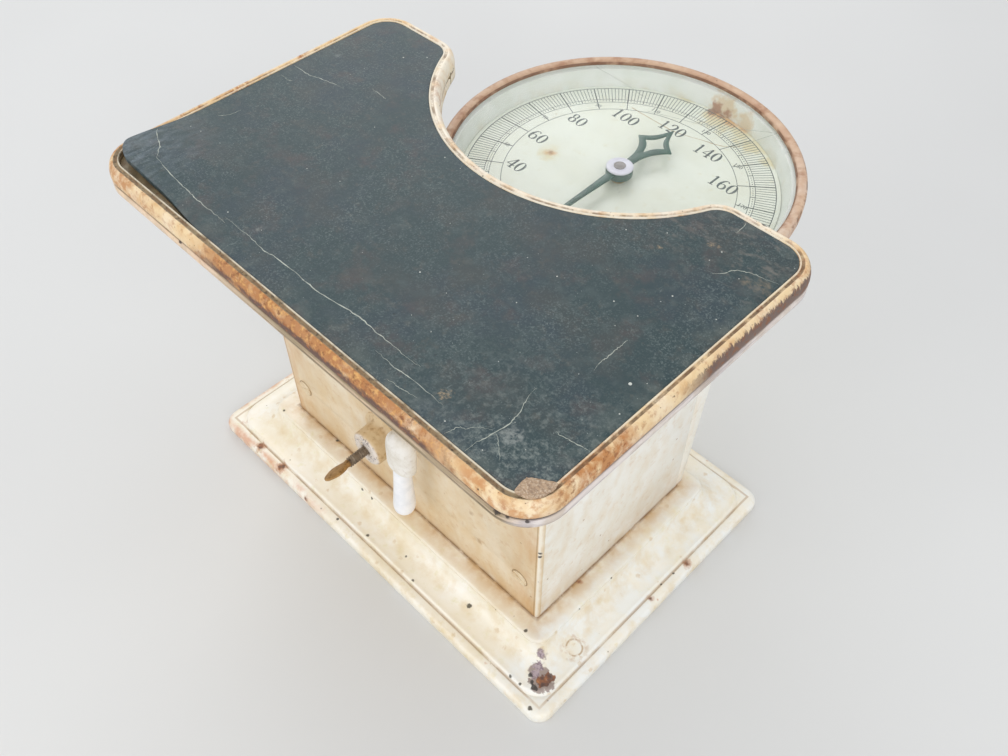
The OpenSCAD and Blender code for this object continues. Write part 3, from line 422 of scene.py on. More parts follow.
class Coat:
    """A surface built up in layers of colour, roughness and height, in real millimetres.

    A mask holds from 0 to 1. Where a method takes "within", its mask is held inside that one.
    """

    def __init__(self, name: str, tint: str, roughness: float, **shader: float) -> None:
        """Starts the coat with one even layer.

        Args:
            name: The material's name.
            tint: Colour of the first layer.
            roughness: Its roughness.
            **shader: Values set on the shader's own sockets, with _ for a space.
        """
        self.material = bpy.data.materials.new(name)
        self.material.use_nodes = True
        self.tree = self.material.node_tree
        self.tree.nodes.clear()
        self.shader = self.tree.nodes.new("ShaderNodeBsdfPrincipled")
        out = self.tree.nodes.new("ShaderNodeOutputMaterial")
        self.tree.links.new(self.shader.outputs[0], out.inputs[0])
        self.shader.inputs["Roughness"].default_value = roughness
        for key, value in shader.items():
            self.shader.inputs[key.replace("_", " ")].default_value = value
        self.colour: Socket | tuple[float, ...] = linear(tint)
        self.rough: Mask = roughness
        self.height: Mask = 0.0
        coord = self.add("TexCoord", {}, "Object")
        self.place = self.add("VectorMath", {0: coord, 3: 1000.0}, operation="SCALE")
        split = self.add("SeparateXYZ", {0: self.place}).node
        self.x, self.y, self.z = split.outputs

    def add(self, kind: str, inputs: dict, out: int | str = 0, stops: Sequence[tuple[float, str]] = (),
            **settings: object) -> Socket:
        """Adds a node with its settings and links.

        Args:
            kind: The node's type without its prefix.
            inputs: Socket or value for each input by index or name.
            out: The output that is handed back.
            stops: Places and colours of a ramp.
            **settings: The node's own properties.

        Returns:
            The chosen output.
        """
        made = add_node(self.tree, "ShaderNode" + kind, inputs, settings)
        if stops:
            ramp = made.color_ramp.elements
            for i, (at, code) in enumerate(stops):
                stop = ramp[i] if i < 2 else ramp.new(at)
                stop.position, stop.color = at, linear(code)
        return made.outputs[out]

    def where(self, *limits: tuple[Socket, float, float], within: Mask = 1.0) -> Socket:
        """A mask of the places where every value has passed its limit.

        Args:
            *limits: For each, a value, where the mask is 0 and where it is 1.
            within: The mask that holds it.

        Returns:
            The mask.
        """
        held = within
        for value, zero, one in reversed(limits):
            held = self.add("MapRange", {0: value, 1: zero, 2: one, 3: 0.0, 4: held})
        return held

    def between(self, value: Socket, low: float, high: float, soft: float, within: Mask = 1.0) -> Socket:
        """A mask for a value between two limits with soft ends."""
        return self.where((value, low - soft, low), (value, high + soft, high), within=within)

    def ring(self, centre: Point, inner: float, outer: float, soft: float, within: Mask = 1.0) -> Socket:
        """A mask of a ring round a point, between two radii in millimetres."""
        gap = self.add("VectorMath", {0: self.place, 1: centre}, "Value", operation="DISTANCE")
        return self.between(gap, inner, outer, soft, within)

    def blotches(self, size: float, zero: float, one: float, detail: float = 6, seed: float = 0,
                 stretch: Point = (1, 1, 1), within: Mask = 1.0) -> Socket:
        """A mask of cloudy patches.

        Args:
            size: Size of a patch in millimetres.
            zero: Noise value where the mask is 0.
            one: Noise value where it is 1.
            detail: Octaves of finer detail.
            seed: Moves the pattern.
            stretch: Longer patches along an axis have a higher value.
            within: The mask that holds it.

        Returns:
            The mask.
        """
        place = self.add("Mapping", {0: self.place, 1: (seed * 7.3, seed * 3.1, seed * 5.7),
                                     3: tuple(1 / (size * s) for s in stretch)})
        cloud = self.add("TexNoise", {"Vector": place, "Scale": 1.0, "Detail": detail, "Roughness": 0.6})
        return self.where((cloud, zero, one), within=within)

    def specks(self, cell: float, radius: float, share: float, seed: float = 0, within: Mask = 1.0) -> Socket:
        """A mask of scattered ragged spots.

        Args:
            cell: Mean distance between spots in millimetres.
            radius: Radius of a spot in millimetres.
            share: Share of the spots that show.
            seed: Moves the pattern.
            within: The mask that holds it.

        Returns:
            The mask.
        """
        bent = self.add("TexNoise", {"Vector": self.place, "Scale": 1.3 / radius, "Detail": 3.0}, "Color")
        push = self.add("VectorMath", {0: bent, 3: radius * 1.4}, operation="SCALE")
        moved = self.add("VectorMath", {0: self.place, 1: push}, operation="ADD")
        place = self.add("Mapping", {0: moved, 1: (seed * 1.7, seed * 2.3, seed * 0.9),
                                     3: (1 / cell,) * 3})
        near = self.add("TexVoronoi", {"Vector": place, "Scale": 1.0, "Randomness": 1.0})
        spot = self.where((near, radius / cell, 0.55 * radius / cell), within=within)
        pick = self.add("SeparateColor", {0: near.node.outputs["Color"]})
        return self.where((pick, 1 - share, 1 - share + 0.02), within=spot)

    def marks(self, spots: Iterable[tuple[Point, float]], ragged: float = 0.5, grain: float = 3.0,
              soft: float = 0.6, within: Mask = 1.0) -> Socket:
        """A mask of ragged patches at given places.

        Args:
            spots: Centre and radius of each patch in millimetres.
            ragged: How far the outline strays, as a share of the radius.
            grain: Size of the outline's bays in millimetres.
            soft: Width of its soft edge in millimetres.
            within: The mask that holds it.

        Returns:
            The mask.
        """
        bent = self.add("TexNoise", {"Vector": self.place, "Scale": 1 / grain, "Detail": 4.0})
        stray = self.where((bent, 0.25, 0.75))
        total: Mask = 0.0
        for centre, radius in spots:
            gap = self.add("VectorMath", {0: self.place, 1: centre}, "Value", operation="DISTANCE")
            edge = self.add("Math", {0: stray, 1: ragged * radius * 2, 2: gap}, operation="MULTIPLY_ADD")
            rim = radius * (1 + ragged)
            here = self.where((edge, rim, rim - soft), within=within)
            total = self.add("Math", {0: here, 1: total}, operation="MAXIMUM")
        return total

    def cover(self, tint: str | Socket, mask: Socket, strength: float = 1.0, rough: float | None = None,
              height: float = 0.0) -> None:
        """Lays another layer over the coat where a mask holds.

        Args:
            tint: The layer's colour.
            mask: Where it lies.
            strength: How opaque it is.
            rough: Its roughness, if it differs.
            height: Its height in millimetres, negative for a loss.
        """
        mask = self.where((mask, 0.0, 1.0), within=strength) if strength < 1 else mask
        new = linear(tint) if isinstance(tint, str) else tint
        self.colour = self.add("Mix", {0: mask, 6: self.colour, 7: new}, 2, data_type="RGBA")
        if rough is not None:
            self.rough = self.add("Mix", {0: mask, 2: self.rough, 3: rough})
        if height:
            self.raise_by(mask, height)

    def raise_by(self, mask: Socket, height: float) -> None:
        """Adds a mask times a height in millimetres to the surface's relief."""
        self.height = self.add("Math", {0: mask, 1: height, 2: self.height}, operation="MULTIPLY_ADD")

    def done(self) -> bpy.types.Material:
        """Links the layers to the shader.

        Returns:
            The material.
        """
        if isinstance(self.colour, bpy.types.NodeSocket):
            self.tree.links.new(self.colour, self.shader.inputs["Base Color"])
        else:
            self.shader.inputs["Base Color"].default_value = self.colour
        if isinstance(self.rough, bpy.types.NodeSocket):
            self.tree.links.new(self.rough, self.shader.inputs["Roughness"])
        if isinstance(self.height, bpy.types.NodeSocket):
            bump = self.add("Bump", {"Height": self.height, "Distance": MM, "Strength": 1.0}, "Normal")
            self.tree.links.new(bump, self.shader.inputs["Normal"])
        return self.material

    def rust(self, size: float = 3.0, seed: float = 0) -> Socket:
        """Colours of bare rusted iron, from dark purple brown to orange."""
        shades = [(0.0, "#45312c"), (1.0, "#b67a4a"), (0.35, "#63463a"), (0.65, "#8a5636")]
        return self.add("ValToRGB", {0: self.blotches(size, 0.3, 0.7, 8, seed)}, stops=shades)

    def inset(self, half: Flat, centre_y: float) -> Socket:
        """Distance inwards from the sides of a rectangle centred on the middle.

        Args:
            half: Half of its width and depth.
            centre_y: Its centre along Y.

        Returns:
            The distance in millimetres, negative outside.
        """
        dx = self.add("Math", {0: self.x}, operation="ABSOLUTE")
        dy = self.add("Math", {0: self.y, 1: centre_y}, operation="SUBTRACT")
        dy = self.add("Math", {0: dy}, operation="ABSOLUTE")
        ix = self.add("Math", {0: half[0], 1: dx}, operation="SUBTRACT")
        iy = self.add("Math", {0: half[1], 1: dy}, operation="SUBTRACT")
        return self.add("Math", {0: ix, 1: iy}, operation="MINIMUM")


@dataclass(frozen=True)
class PlinthEnamel:
    """Stove enamel on the cast base: a hard cream-white gloss with dirt in its hollows, painted shade
    beside the casing, small pits where it was knocked through, and rust on the edges."""

    tint: str = "#f7f0df"

    def build(self) -> bpy.types.Material:
        """Makes the material.

        Returns:
            The material.
        """
        c = Coat("cast base stove enamel", self.tint, 0.3, IOR=1.5)
        c.cover("#ede0c2", c.blotches(40, 0.44, 0.72, 4), 0.8)
        c.cover("#fbf8f0", c.blotches(22, 0.5, 0.72, 4, 2), 0.7)
        c.cover("#e3dba8", c.blotches(6, 0.56, 0.72, 6, 16), 0.45)
        right = c.where((c.x, 106, 122))
        c.cover("#f4f5f1", c.blotches(17, 0.34, 0.6, 5, 14, within=right), 0.9)
        edge = c.inset((153, 106), BASE_Y)
        wall = c.inset((BOX_HALF, 65.1), BOX_Y)
        # Tan dirt mixed with painted shade, fading out across the base from the casing, a dark brown line
        # along the joint, and tan dirt on the slope below the ridge
        c.cover("#cfa86f", c.where((wall, -13, -1), within=c.blotches(13, 0.3, 0.62, 5, 4)), 0.85, 0.5)
        c.cover("#8a6238", c.where((wall, -1.8, -0.2), within=c.blotches(6, 0.28, 0.5, 4, 5)), 0.75, 0.7)
        c.cover("#dfc696", c.between(edge, 18, 26, 5, c.blotches(13, 0.44, 0.7, 6, 6)), 0.6, 0.45)
        c.cover("#b3926a", c.between(edge, 6.2, 7.0, 0.6, c.blotches(16, 0.2, 0.5, 4, 7)), 0.55, 0.6)
        c.cover("#e2c99a", c.where((edge, 6, 0), within=c.blotches(12, 0.46, 0.66, 5, 8)), 0.6)
        c.cover("#d3b68a", c.specks(9, 1.8, 0.45, 8), 0.45, 0.5)
        c.cover("#8d7d60", c.specks(10, 0.6, 0.5, 1), 0.7, 0.7, -0.05)
        c.cover("#4a4034", c.specks(26, 0.6, 0.6, 3), 0.9, 0.8, -0.12)
        # The lip's front left stretch is stained a pinkish brown and worn through in spots
        worn = c.where((c.x, -30, -80), (edge, 5.2, 2.0))
        c.cover("#d9a17c", c.blotches(11, 0.4, 0.6, 5, 9, within=worn), 0.8, 0.45)
        c.cover("#c98f6a", c.specks(14, 1.3, 0.6, 10, c.where((edge, 5, 3))), 0.7, 0.5)
        c.cover("#bd8a66", c.marks([(p, r * 1.7) for p, r in BASE_RUST], 0.45, 3, 2.5), 0.75, 0.5)
        c.cover(c.rust(2.2, 5), c.marks(BASE_RUST, 0.45, 2.2, 1.4), 0.85, 0.75, -0.1)
        c.cover("#4f4a3c", c.marks(BASE_PITS, 0.35, 1.5), 0.92, 0.8, -0.2)
        # The front right corner has lost a flake: undercoat, bare iron and a dark edge
        c.cover("#8f7a72", c.marks(FLAKE_HALO, 0.4, 3, 1.2), 0.85, 0.5)
        c.cover("#b5a3a8", c.marks(FLAKE_UNDERCOAT, 0.45, 1.6, 0.8), 0.9, 0.55, -0.12)
        c.cover("#7c6a70", c.blotches(1.6, 0.48, 0.6, 5, 17, within=c.marks(FLAKE_UNDERCOAT, 0.4, 1.6)), 0.8)
        c.cover(c.rust(3.4, 7), c.marks(FLAKE_IRON, 0.4, 3), 0.92, 0.75, -0.25)
        c.cover("#3f3b38", c.marks(FLAKE_EDGE, 0.45, 1.6), 0.9, 0.75, -0.2)
        c.cover("#b79468", c.ring(SPILL, 4.6, 5.1, 0.5, c.blotches(5, 0.4, 0.52, 3, 18)), 0.75, 0.5)
        c.cover("#c3986a", c.ring(SPILL, 5.2, 7.5, 2, c.blotches(4, 0.48, 0.6, 4, 19)), 0.4, 0.5)
        c.raise_by(c.blotches(6, 0.2, 0.8, 3, 12), 0.08)
        c.raise_by(c.blotches(1.2, 0.2, 0.8, 2, 13), 0.012)
        return c.done()


SPILL = (136.8, -110.8, 10.7)
BASE_PITS = [
    ((-30.9, -130.4, 19.6), 1.3), ((-21.3, -130.5, 19.4), 1.2), ((122.2, -149.3, 9.8), 1.3),
    ((129.3, -148.8, 10.2), 1.1), ((142.7, -154.3, 7.9), 1.5), ((146.6, -144.1, 7.7), 0.9),
    ((125.5, -94.7, 21.4), 0.8), ((125.7, -66.0, 21.4), 0.8), ((113.0, -127.3, 23.0), 1.3),
    ((74.6, -136.3, 12.4), 1.7), ((146.3, -41.4, 7.6), 1.0), ((147.0, -30.3, 8.1), 1.0),
    ((-116.3, -128.0, 23.0), 1.0), ((-126.4, -131.5, 17.0), 0.8), ((-31.3, -152.5, 8.2), 1.2),
    ((-7.3, -147.1, 10.1), 1.3), ((21.8, -140.3, 10.8), 1.0), ((36.9, -148.1, 10.3), 1.2),
    ((-45.5, -154.9, 7.8), 0.7), ((-70.5, -118.4, 23.0), 1.2),
]
BASE_RUST = [
    ((-113.8, -153.2, 8.1), 2.8), ((-90.0, -153.5, 8.0), 3.0), ((-137.9, -148.8, 10.2), 1.8),
    ((148.1, -53.7, 8.3), 1.7), ((148.4, -18.9, 8.2), 2.2), ((114.0, -82.0, 23.0), 1.6),
    ((-59.5, -157.0, 5.7), 1.8),
]
FLAKE_HALO = [((127.9, -129.0, 16.2), 3.6), ((130.5, -136.6, 13.0), 4.8), ((137.0, -138.6, 10.4), 7.4)]
FLAKE_UNDERCOAT = [((127.9, -129.6, 16.4), 3.2), ((130.5, -134.6, 13.5), 3.6), ((131.6, -138.6, 10.8), 3.0)]
FLAKE_IRON = [((138.8, -133.9, 10.3), 3.4), ((137.6, -138.6, 10.4), 3.6)]
FLAKE_EDGE = [((136.7, -144.4, 10.2), 2.3), ((129.8, -140.6, 10.8), 1.7), ((133.4, -143.2, 10.2), 1.5)]


@dataclass(frozen=True)
class PanelEnamel:
    """Enamel on the sheet-iron casing: cream-white, with tan runs of dirt from the joints, painted
    shade along the foot and round the screw heads, and a painted highlight on the front's folded edge.
    """

    name: str
    tint: str
    pale: str
    dirt: float

    def build(self) -> bpy.types.Material:
        """Makes the material.

        Returns:
            The material.
        """
        c = Coat(self.name, self.tint, 0.32, IOR=1.5)
        c.cover(self.pale, c.blotches(30, 0.42, 0.66, 5, 1), 0.75)
        c.cover("#ddbf8e", c.blotches(11, 0.46, 0.72, 7, 3, (1, 1, 2)), 0.6 * self.dirt, 0.45)
        c.cover("#cda673", c.blotches(5, 0.56, 0.7, 6, 10), 0.45 * self.dirt, 0.5)
        # Tan that grows towards the bottom, and a dark brown band at the foot: dirt and painted shade where
        # the casing meets the base
        low = c.blotches(12, 0.34, 0.66, 6, 5, (1, 1, 1.4))
        c.cover("#d2ad76", c.where((c.z, 60, BASE_TOP), within=low), 0.7 * self.dirt, 0.5)
        c.cover("#8f673c", c.where((c.z, 26, BASE_TOP), within=c.blotches(6, 0.3, 0.5, 4, 6)), 0.7, 0.65)
        c.cover("#c39c6a", c.where((c.z, 198, WALL_TOP), within=c.blotches(7, 0.38, 0.64, 6, 7)), 0.8, 0.6)
        c.cover(c.rust(3, 1), c.where((c.z, 211.5, 215.5), within=c.blotches(5, 0.5, 0.56, 8, 8)), 0.9, 0.8)
        # The front's folded right edge: orange dirt, a dark line and a painted highlight along the rounded
        # fold
        ax = c.add("Math", {0: c.x}, operation="ABSOLUTE")
        front = c.where((c.y, FRONT_Y + 2.5, FRONT_Y + 0.8))
        corner = c.where((ax, BOX_HALF - 28, BOX_HALF - 2), within=front)
        c.cover("#cf9f64", c.blotches(10, 0.36, 0.62, 6, 9, (1, 1, 3), corner), 0.75 * self.dirt, 0.5)
        c.cover("#9c7546", c.between(ax, BOX_HALF - 3.0, BOX_HALF - 2.5, 0.35, front), 0.55, 0.6)
        c.cover("#f5efdf", c.where((ax, BOX_HALF - 2.1, BOX_HALF - 1.6), within=front), 0.85)
        side = c.where((c.y, FRONT_Y + 26, FRONT_Y + 3), (ax, BOX_HALF - 1, BOX_HALF - 0.3))
        c.cover("#dcbf92", c.blotches(9, 0.38, 0.66, 6, 15, within=side), 0.6 * self.dirt)
        # A dark ring round each screw head is painted shade in the gap between the head and the panel
        for s in (-1, 1):
            c.cover("#7d6138", c.ring((s * SCREW_X, FRONT_Y, SCREW_Z), 5.3, 6.0, 0.3), 0.6, 0.7)
        stains = [((59.3, FRONT_Y, 78.8), 2.6), ((65.1, FRONT_Y, 54.7), 3.0)]
        c.cover("#a9814f", c.marks(stains, 0.5, 3, 2), 0.6)
        seam = [((112.0, FRONT_Y, 97.5), 1.6), ((112.0, FRONT_Y, 94.0), 1.7), ((111.9, FRONT_Y, 66.2), 0.9),
                ((112.2, FRONT_Y, 45.0), 0.7)]
        c.cover("#3a3632", c.marks(seam, 0.4, 1.6), 0.9, 0.7)
        c.cover("#a47a4f", c.specks(15, 0.9, 0.45 * self.dirt, 2), 0.7, 0.6, -0.05)
        c.cover("#5b4a3a", c.specks(22, 0.5, 0.5 * self.dirt, 5), 0.8, 0.8, -0.1)
        c.raise_by(c.blotches(7, 0.2, 0.8, 3, 12), 0.07)
        return c.done()


@dataclass(frozen=True)
class RimPaint:
    """Paint on the cast platform rim: a warm cream with fine rust spots. Shoes have rubbed the
    front's middle to brown and orange and the right side's outer half to purple-brown iron."""

    tint: str = "#ecd0a2"

    def build(self) -> bpy.types.Material:
        """Makes the material.

        Returns:
            The material.
        """
        c = Coat("worn platform rim paint", self.tint, 0.4, IOR=1.5)
        c.cover("#f6e5c8", c.blotches(14, 0.45, 0.66, 5, 1), 0.8)
        c.cover("#d6a870", c.blotches(9, 0.46, 0.66, 7, 2), 0.75, 0.5)
        c.cover("#b58050", c.blotches(3.5, 0.54, 0.68, 8, 4), 0.65, 0.55)
        fields = c.blotches(24, 0.53, 0.63, 3, 5)
        c.cover("#a9602c", c.blotches(2.4, 0.4, 0.58, 8, 6, within=fields), 0.8, 0.7)
        ax = c.add("Math", {0: c.x}, operation="ABSOLUTE")
        notch = c.where((c.y, -62, -42), (ax, 136, 126))
        c.cover("#f6efdf", c.blotches(9, 0.28, 0.54, 5, 36, within=notch), 0.8)
        c.cover("#6d4a35", c.specks(2.4, 0.36, 0.45, 7), 0.75, 0.7)
        inset = c.add("Attribute", {}, "Fac", attribute_name="inset")
        front = c.where((c.y, -152, -162))
        side = c.where((c.x, 139, 150))
        crown = c.where((c.z, 232.0, 232.8))
        ragged = c.add("TexNoise", {"Vector": c.place, "Scale": 0.32, "Detail": 8.0, "Roughness": 0.7})
        level = c.add("Math", {0: ragged, 1: 8.0, 2: c.z}, operation="MULTIPLY_ADD")
        self.rub_front(c, front, crown, level)
        self.rub_side(c, side, crown)
        self.dirty_valley(c, inset, front, side)
        self.soil_skirt(c, front, side)
        c.cover("#2e211c", c.specks(9, 0.6, 0.45, 4), 0.8, 0.8, -0.1)
        knocks = [((137.0, -172.9, 232.0), 1.9), ((141.5, -172.0, 232.2), 1.1), ((148.5, -168.3, 231.9), 1.2),
                  ((129.0, -173.8, 233.2), 1.5), ((119.3, 25.0, 241.4), 2.4), ((-78, -174, 232.5), 1.8)]
        c.cover("#2f2622", c.marks(knocks, 0.45, 2.2), 0.9, 0.6, -0.15)
        c.cover("#dfe4e6", c.marks([((123.6, 24.6, 241.8), 1.3)], 0.4, 2), 0.9, 0.25)
        c.raise_by(c.blotches(4, 0.2, 0.8, 4, 12), 0.10)
        c.raise_by(c.blotches(1.0, 0.2, 0.8, 3, 13), 0.04)
        return c.done()

    def rub_front(self, c: Coat, front: Socket, crown: Socket, level: Socket) -> None:
        """Wears the front side's middle: orange brown on top, purple brown below.

        Args:
            c: The coat.
            front: Mask of the front side.
            crown: Mask above the skirt.
            level: Height with a ragged share of 0 to 8 mm.
        """
        left = c.where((c.x, -104, -122), (c.y, -140, -156), within=crown)
        c.cover("#b9793f", c.blotches(6, 0.4, 0.6, 8, 21, within=left), 0.8, 0.6)
        worn = c.between(c.x, -44, 96, 24, c.where((front, 0.0, 1.0), within=crown))
        c.cover("#b27641", c.blotches(9, 0.22, 0.5, 8, 6, within=worn), 0.92, 0.65)
        c.cover("#e0ad68", c.blotches(3, 0.5, 0.64, 8, 19, within=worn), 0.85, 0.6)
        c.cover("#7c4c2c", c.blotches(3.4, 0.54, 0.66, 8, 22, within=worn), 0.8, 0.7)
        dark = c.blotches(16, 0.28, 0.44, 6, 23, within=worn)
        c.cover("#5d453f", c.where((level, 242.6, 240.8), within=dark), 0.92, 0.65)
        flecks = c.blotches(2.6, 0.56, 0.64, 8, 24, within=worn)
        c.cover("#a8693a", c.where((level, 243.5, 241.5), within=flecks), 0.8, 0.7)
        corner = c.between(c.x, 120, 149, 6, c.where((c.y, -140, -156), within=crown))
        c.cover("#c78a52", c.blotches(6, 0.5, 0.62, 8, 25, within=corner), 0.75, 0.6)

    def rub_side(self, c: Coat, side: Socket, crown: Socket) -> None:
        """Wears the right side: orange brown near the front, then a long purple-brown band.

        Args:
            c: The coat.
            side: Mask of the right side.
            crown: Mask above the skirt.
        """
        near = c.between(c.y, -152, -118, 9, c.where((side, 0.0, 1.0), within=crown))
        c.cover("#b8763a", c.blotches(6, 0.38, 0.58, 8, 26, within=near), 0.85, 0.65)
        c.cover("#8a5228", c.blotches(2.6, 0.54, 0.64, 8, 27, within=near), 0.7, 0.7)
        # Slanting strokes end the band where soles scraped over the crown
        comb = c.add("Mapping", {0: c.place, 2: (0.0, 0.0, 0.6), 3: (0.16, 0.75, 0.3)})
        strokes = c.add("TexNoise", {"Vector": comb, "Scale": 1.0, "Detail": 6.0, "Roughness": 0.65})
        ends = c.add("Math", {0: strokes, 1: 9.0, 2: c.z}, operation="MULTIPLY_ADD")
        long = c.where((c.y, -84, -62), (side, 0.0, 1.0), within=crown)
        band = c.where((ends, 245.4, 244.2), (ends, 236.4, 237.2), within=long)
        c.cover("#65504b", band, 0.94, 0.55, -0.1)
        flecks = c.blotches(3, 0.5, 0.62, 8, 28, within=long)
        c.cover("#8a5a3a", c.where((ends, 245.6, 243.6), within=flecks), 0.75, 0.7)
        foot = c.blotches(20, 0.2, 0.4, 4, 29, within=side)
        c.cover("#4a3432", c.between(c.z, 232.2, 233.4, 0.5, foot), 0.85, 0.7)

    def dirty_valley(self, c: Coat, inset: Socket, front: Socket, side: Socket) -> None:
        """Fills the valley beside the mat with grime.

        Args:
            c: The coat.
            inset: Distance inwards from the rim's outer edge.
            front: Mask of the front side.
            side: Mask of the right side.
        """
        high = c.where((c.z, 238, 239))
        for tint, low, top, soft, cloud, within, strength, rough in (
                ("#8f7f63", 3.5, 6.6, 0.3, (9, 0.2, 0.44, 6, 17), front, 0.88, 0.75),
                ("#4f4434", 3.5, 6.6, 0.3, (2.2, 0.5, 0.62, 8, 18), front, 0.8, 0.8),
                ("#5b4938", 4.0, 5.2, 0.25, (5, 0.36, 0.56, 6, 30), side, 0.8, 0.8),
                ("#7d5f42", 4.0, 5.2, 0.3, (7, 0.44, 0.6, 6, 31), high, 0.7, 0.7),
                ("#eadfc8", 5.6, 6.1, 0.25, (12, 0.34, 0.5, 5, 32), high, 0.75, 0.5)):
            grime = c.blotches(*cloud, within=within)
            c.cover(tint, c.between(inset, low, top, soft, grime), strength, rough)

    def soil_skirt(self, c: Coat, front: Socket, side: Socket) -> None:
        """Colours the skirt: pinkish at the front left, streaked grey tan, and pale at the right.

        Args:
            c: The coat.
            front: Mask of the front side.
            side: Mask of the right side.
        """
        skirt = c.where((c.z, 232.3, 231.9))
        ahead = c.where((front, 0.0, 1.0), within=skirt)
        c.cover("#ead0b6", c.blotches(10, 0.2, 0.5, 4, 33, within=ahead), 0.8)
        streaks = c.blotches(9, 0.3, 0.56, 7, 16, (5, 1, 0.25), c.where((c.x, -64, 6), within=ahead))
        c.cover("#8f7f60", streaks, 0.88, 0.65)
        edge = c.where((c.x, -64, 0), within=ahead)
        c.cover("#5a4b37", c.between(c.z, 229.0, 229.5, 0.35, edge), 0.75, 0.75)
        beside = c.where((side, 0.0, 1.0), within=skirt)
        c.cover("#e6dedb", beside, 0.88, 0.4)
        c.cover("#a59ba0", c.blotches(8, 0.46, 0.6, 7, 34, (1, 5, 0.3), beside), 0.7, 0.6)
        c.cover("#b9a488", c.blotches(11, 0.46, 0.62, 7, 35, within=skirt), 0.45, 0.6)
        c.cover("#33241f", c.between(c.z, 232.2, 233.0, 0.35, c.blotches(14, 0.24, 0.42, 4, 15)), 0.85, 0.85)
        c.cover(c.rust(2, 6), c.where((c.z, 228.6, 227.2), within=c.blotches(7, 0.5, 0.56, 8, 8)), 0.9, 0.8)


@dataclass(frozen=True)
class MatRubber:
    """Smooth linoleum-like rubber mat: a dark blue-green, dulled and scratched by shoes, with
    white flecks of paint and a torn front corner."""

    tint: str = "#243b3e"

    def build(self) -> bpy.types.Material:
        """Makes the material.

        Returns:
            The material.
        """
        c = Coat("worn rubber mat", self.tint, 0.52, IOR=1.5)
        c.cover("#283a43", c.blotches(42, 0.44, 0.6, 4, 1), 0.75)
        c.cover("#393f3e", c.blotches(30, 0.48, 0.64, 6, 14), 0.7)
        c.cover("#4a4140", c.blotches(17, 0.55, 0.7, 7, 15), 0.6)
        c.cover("#50504a", c.blotches(5, 0.56, 0.7, 8, 23), 0.5)
        c.cover("#4a5858", c.blotches(7, 0.52, 0.72, 9, 3), 0.55, 0.6)
        # Fine dust stands in the grain, thicker here and there
        dusty = c.blotches(26, 0.3, 0.62, 6, 22)
        c.cover("#7a8683", c.blotches(0.9, 0.52, 0.66, 3, 21, within=dusty), 0.5, 0.7)
        c.cover("#8f9a96", c.specks(1.9, 0.2, 0.5, 24, c.blotches(20, 0.36, 0.6, 5, 25)), 0.65, 0.7)
        edge = c.inset((148, 93.5), -73.95)
        c.cover("#6b726c", c.where((edge, 14, 1), within=c.blotches(9, 0.46, 0.68, 8, 4)), 0.5, 0.7)
        corner = c.where((c.x, 50, 135), (c.y, -95, -160))
        c.cover("#858d88", c.blotches(2.6, 0.5, 0.66, 9, 5, within=corner), 0.75, 0.7)
        back = c.where((c.x, 30, 110), (c.y, -45, 0))
        c.cover("#77736c", c.blotches(4, 0.54, 0.68, 9, 26, (1.8, 1, 1), back), 0.65, 0.7)
        fold = c.where((c.x, -100, -145), (c.y, -105, -160))
        c.cover("#84909a", c.blotches(2.6, 0.42, 0.66, 5, 16, (1, 3, 1), fold), 0.55, 0.6)
        rubbed = c.blotches(26, 0.5, 0.62, 3, 7)
        c.cover("#808b88", c.blotches(1.1, 0.64, 0.7, 3, 6, (1, 5, 1), rubbed), 0.4, 0.7)
        c.cover("#99a39e", c.specks(3.4, 0.26, 0.5, 6), 0.75, 0.7)
        c.cover("#c9cfca", c.specks(9, 0.34, 0.45, 1), 0.8, 0.7)
        c.cover("#1f2c2e", c.specks(15, 0.8, 0.4, 3), 0.6, 0.55, -0.1)
        scuffs = [((121.0, -149.0, 242), 5.4), ((119.6, -146.5, 242), 3.0), ((-135.8, -27.9, 242), 2.4),
                  ((-48.0, -146.0, 242), 2.6)]
        c.cover("#8e938f", c.blotches(1.6, 0.36, 0.58, 6, 19, within=c.marks(scuffs, 0.6, 3, 3)), 0.75, 0.7)
        stains = [((141.8, -10.8, 242), 5.5), ((135.5, -13.5, 242), 4.0), ((146.0, -12.4, 242), 3.0)]
        c.cover("#8a7c68", c.blotches(2.4, 0.36, 0.6, 6, 20, within=c.marks(stains, 0.6, 3, 4)), 0.7, 0.7)
        tan = [((93.7, -23.4, 242), 1.8), ((91.6, -26.0, 242), 1.2), ((86.8, -153.2, 242), 3.2),
               ((109.8, -5.0, 242), 2.2), ((113.0, -3.6, 242), 1.6)]
        c.cover("#a08d72", c.blotches(1.2, 0.4, 0.58, 5, 27, within=c.marks(tan, 0.6, 1.6, 1.4)), 0.8, 0.75)
        c.raise_by(c.blotches(2.2, 0.3, 0.7, 8, 11), 0.05)
        c.raise_by(c.blotches(0.8, 0.3, 0.7, 3, 12), 0.03)
        return c.done()


@dataclass(frozen=True)
class MatBacking:
    """The mat's backing where its surface has peeled: a tan felt of short pressed fibres."""

    tint: str = "#b89c80"

    def build(self) -> bpy.types.Material:
        """Makes the material.

        Returns:
            The material.
        """
        c = Coat("peeled felt backing", self.tint, 0.9)
        c.cover("#8f7763", c.blotches(1.2, 0.46, 0.6, 6, 1, (2, 1, 1)), 0.75)
        c.cover("#d3bfa6", c.blotches(0.8, 0.5, 0.62, 4, 2), 0.8)
        c.cover("#6b5646", c.blotches(4, 0.58, 0.7, 6, 3), 0.5)
        c.raise_by(c.blotches(0.7, 0.3, 0.7, 4, 4), 0.12)
        return c.done()


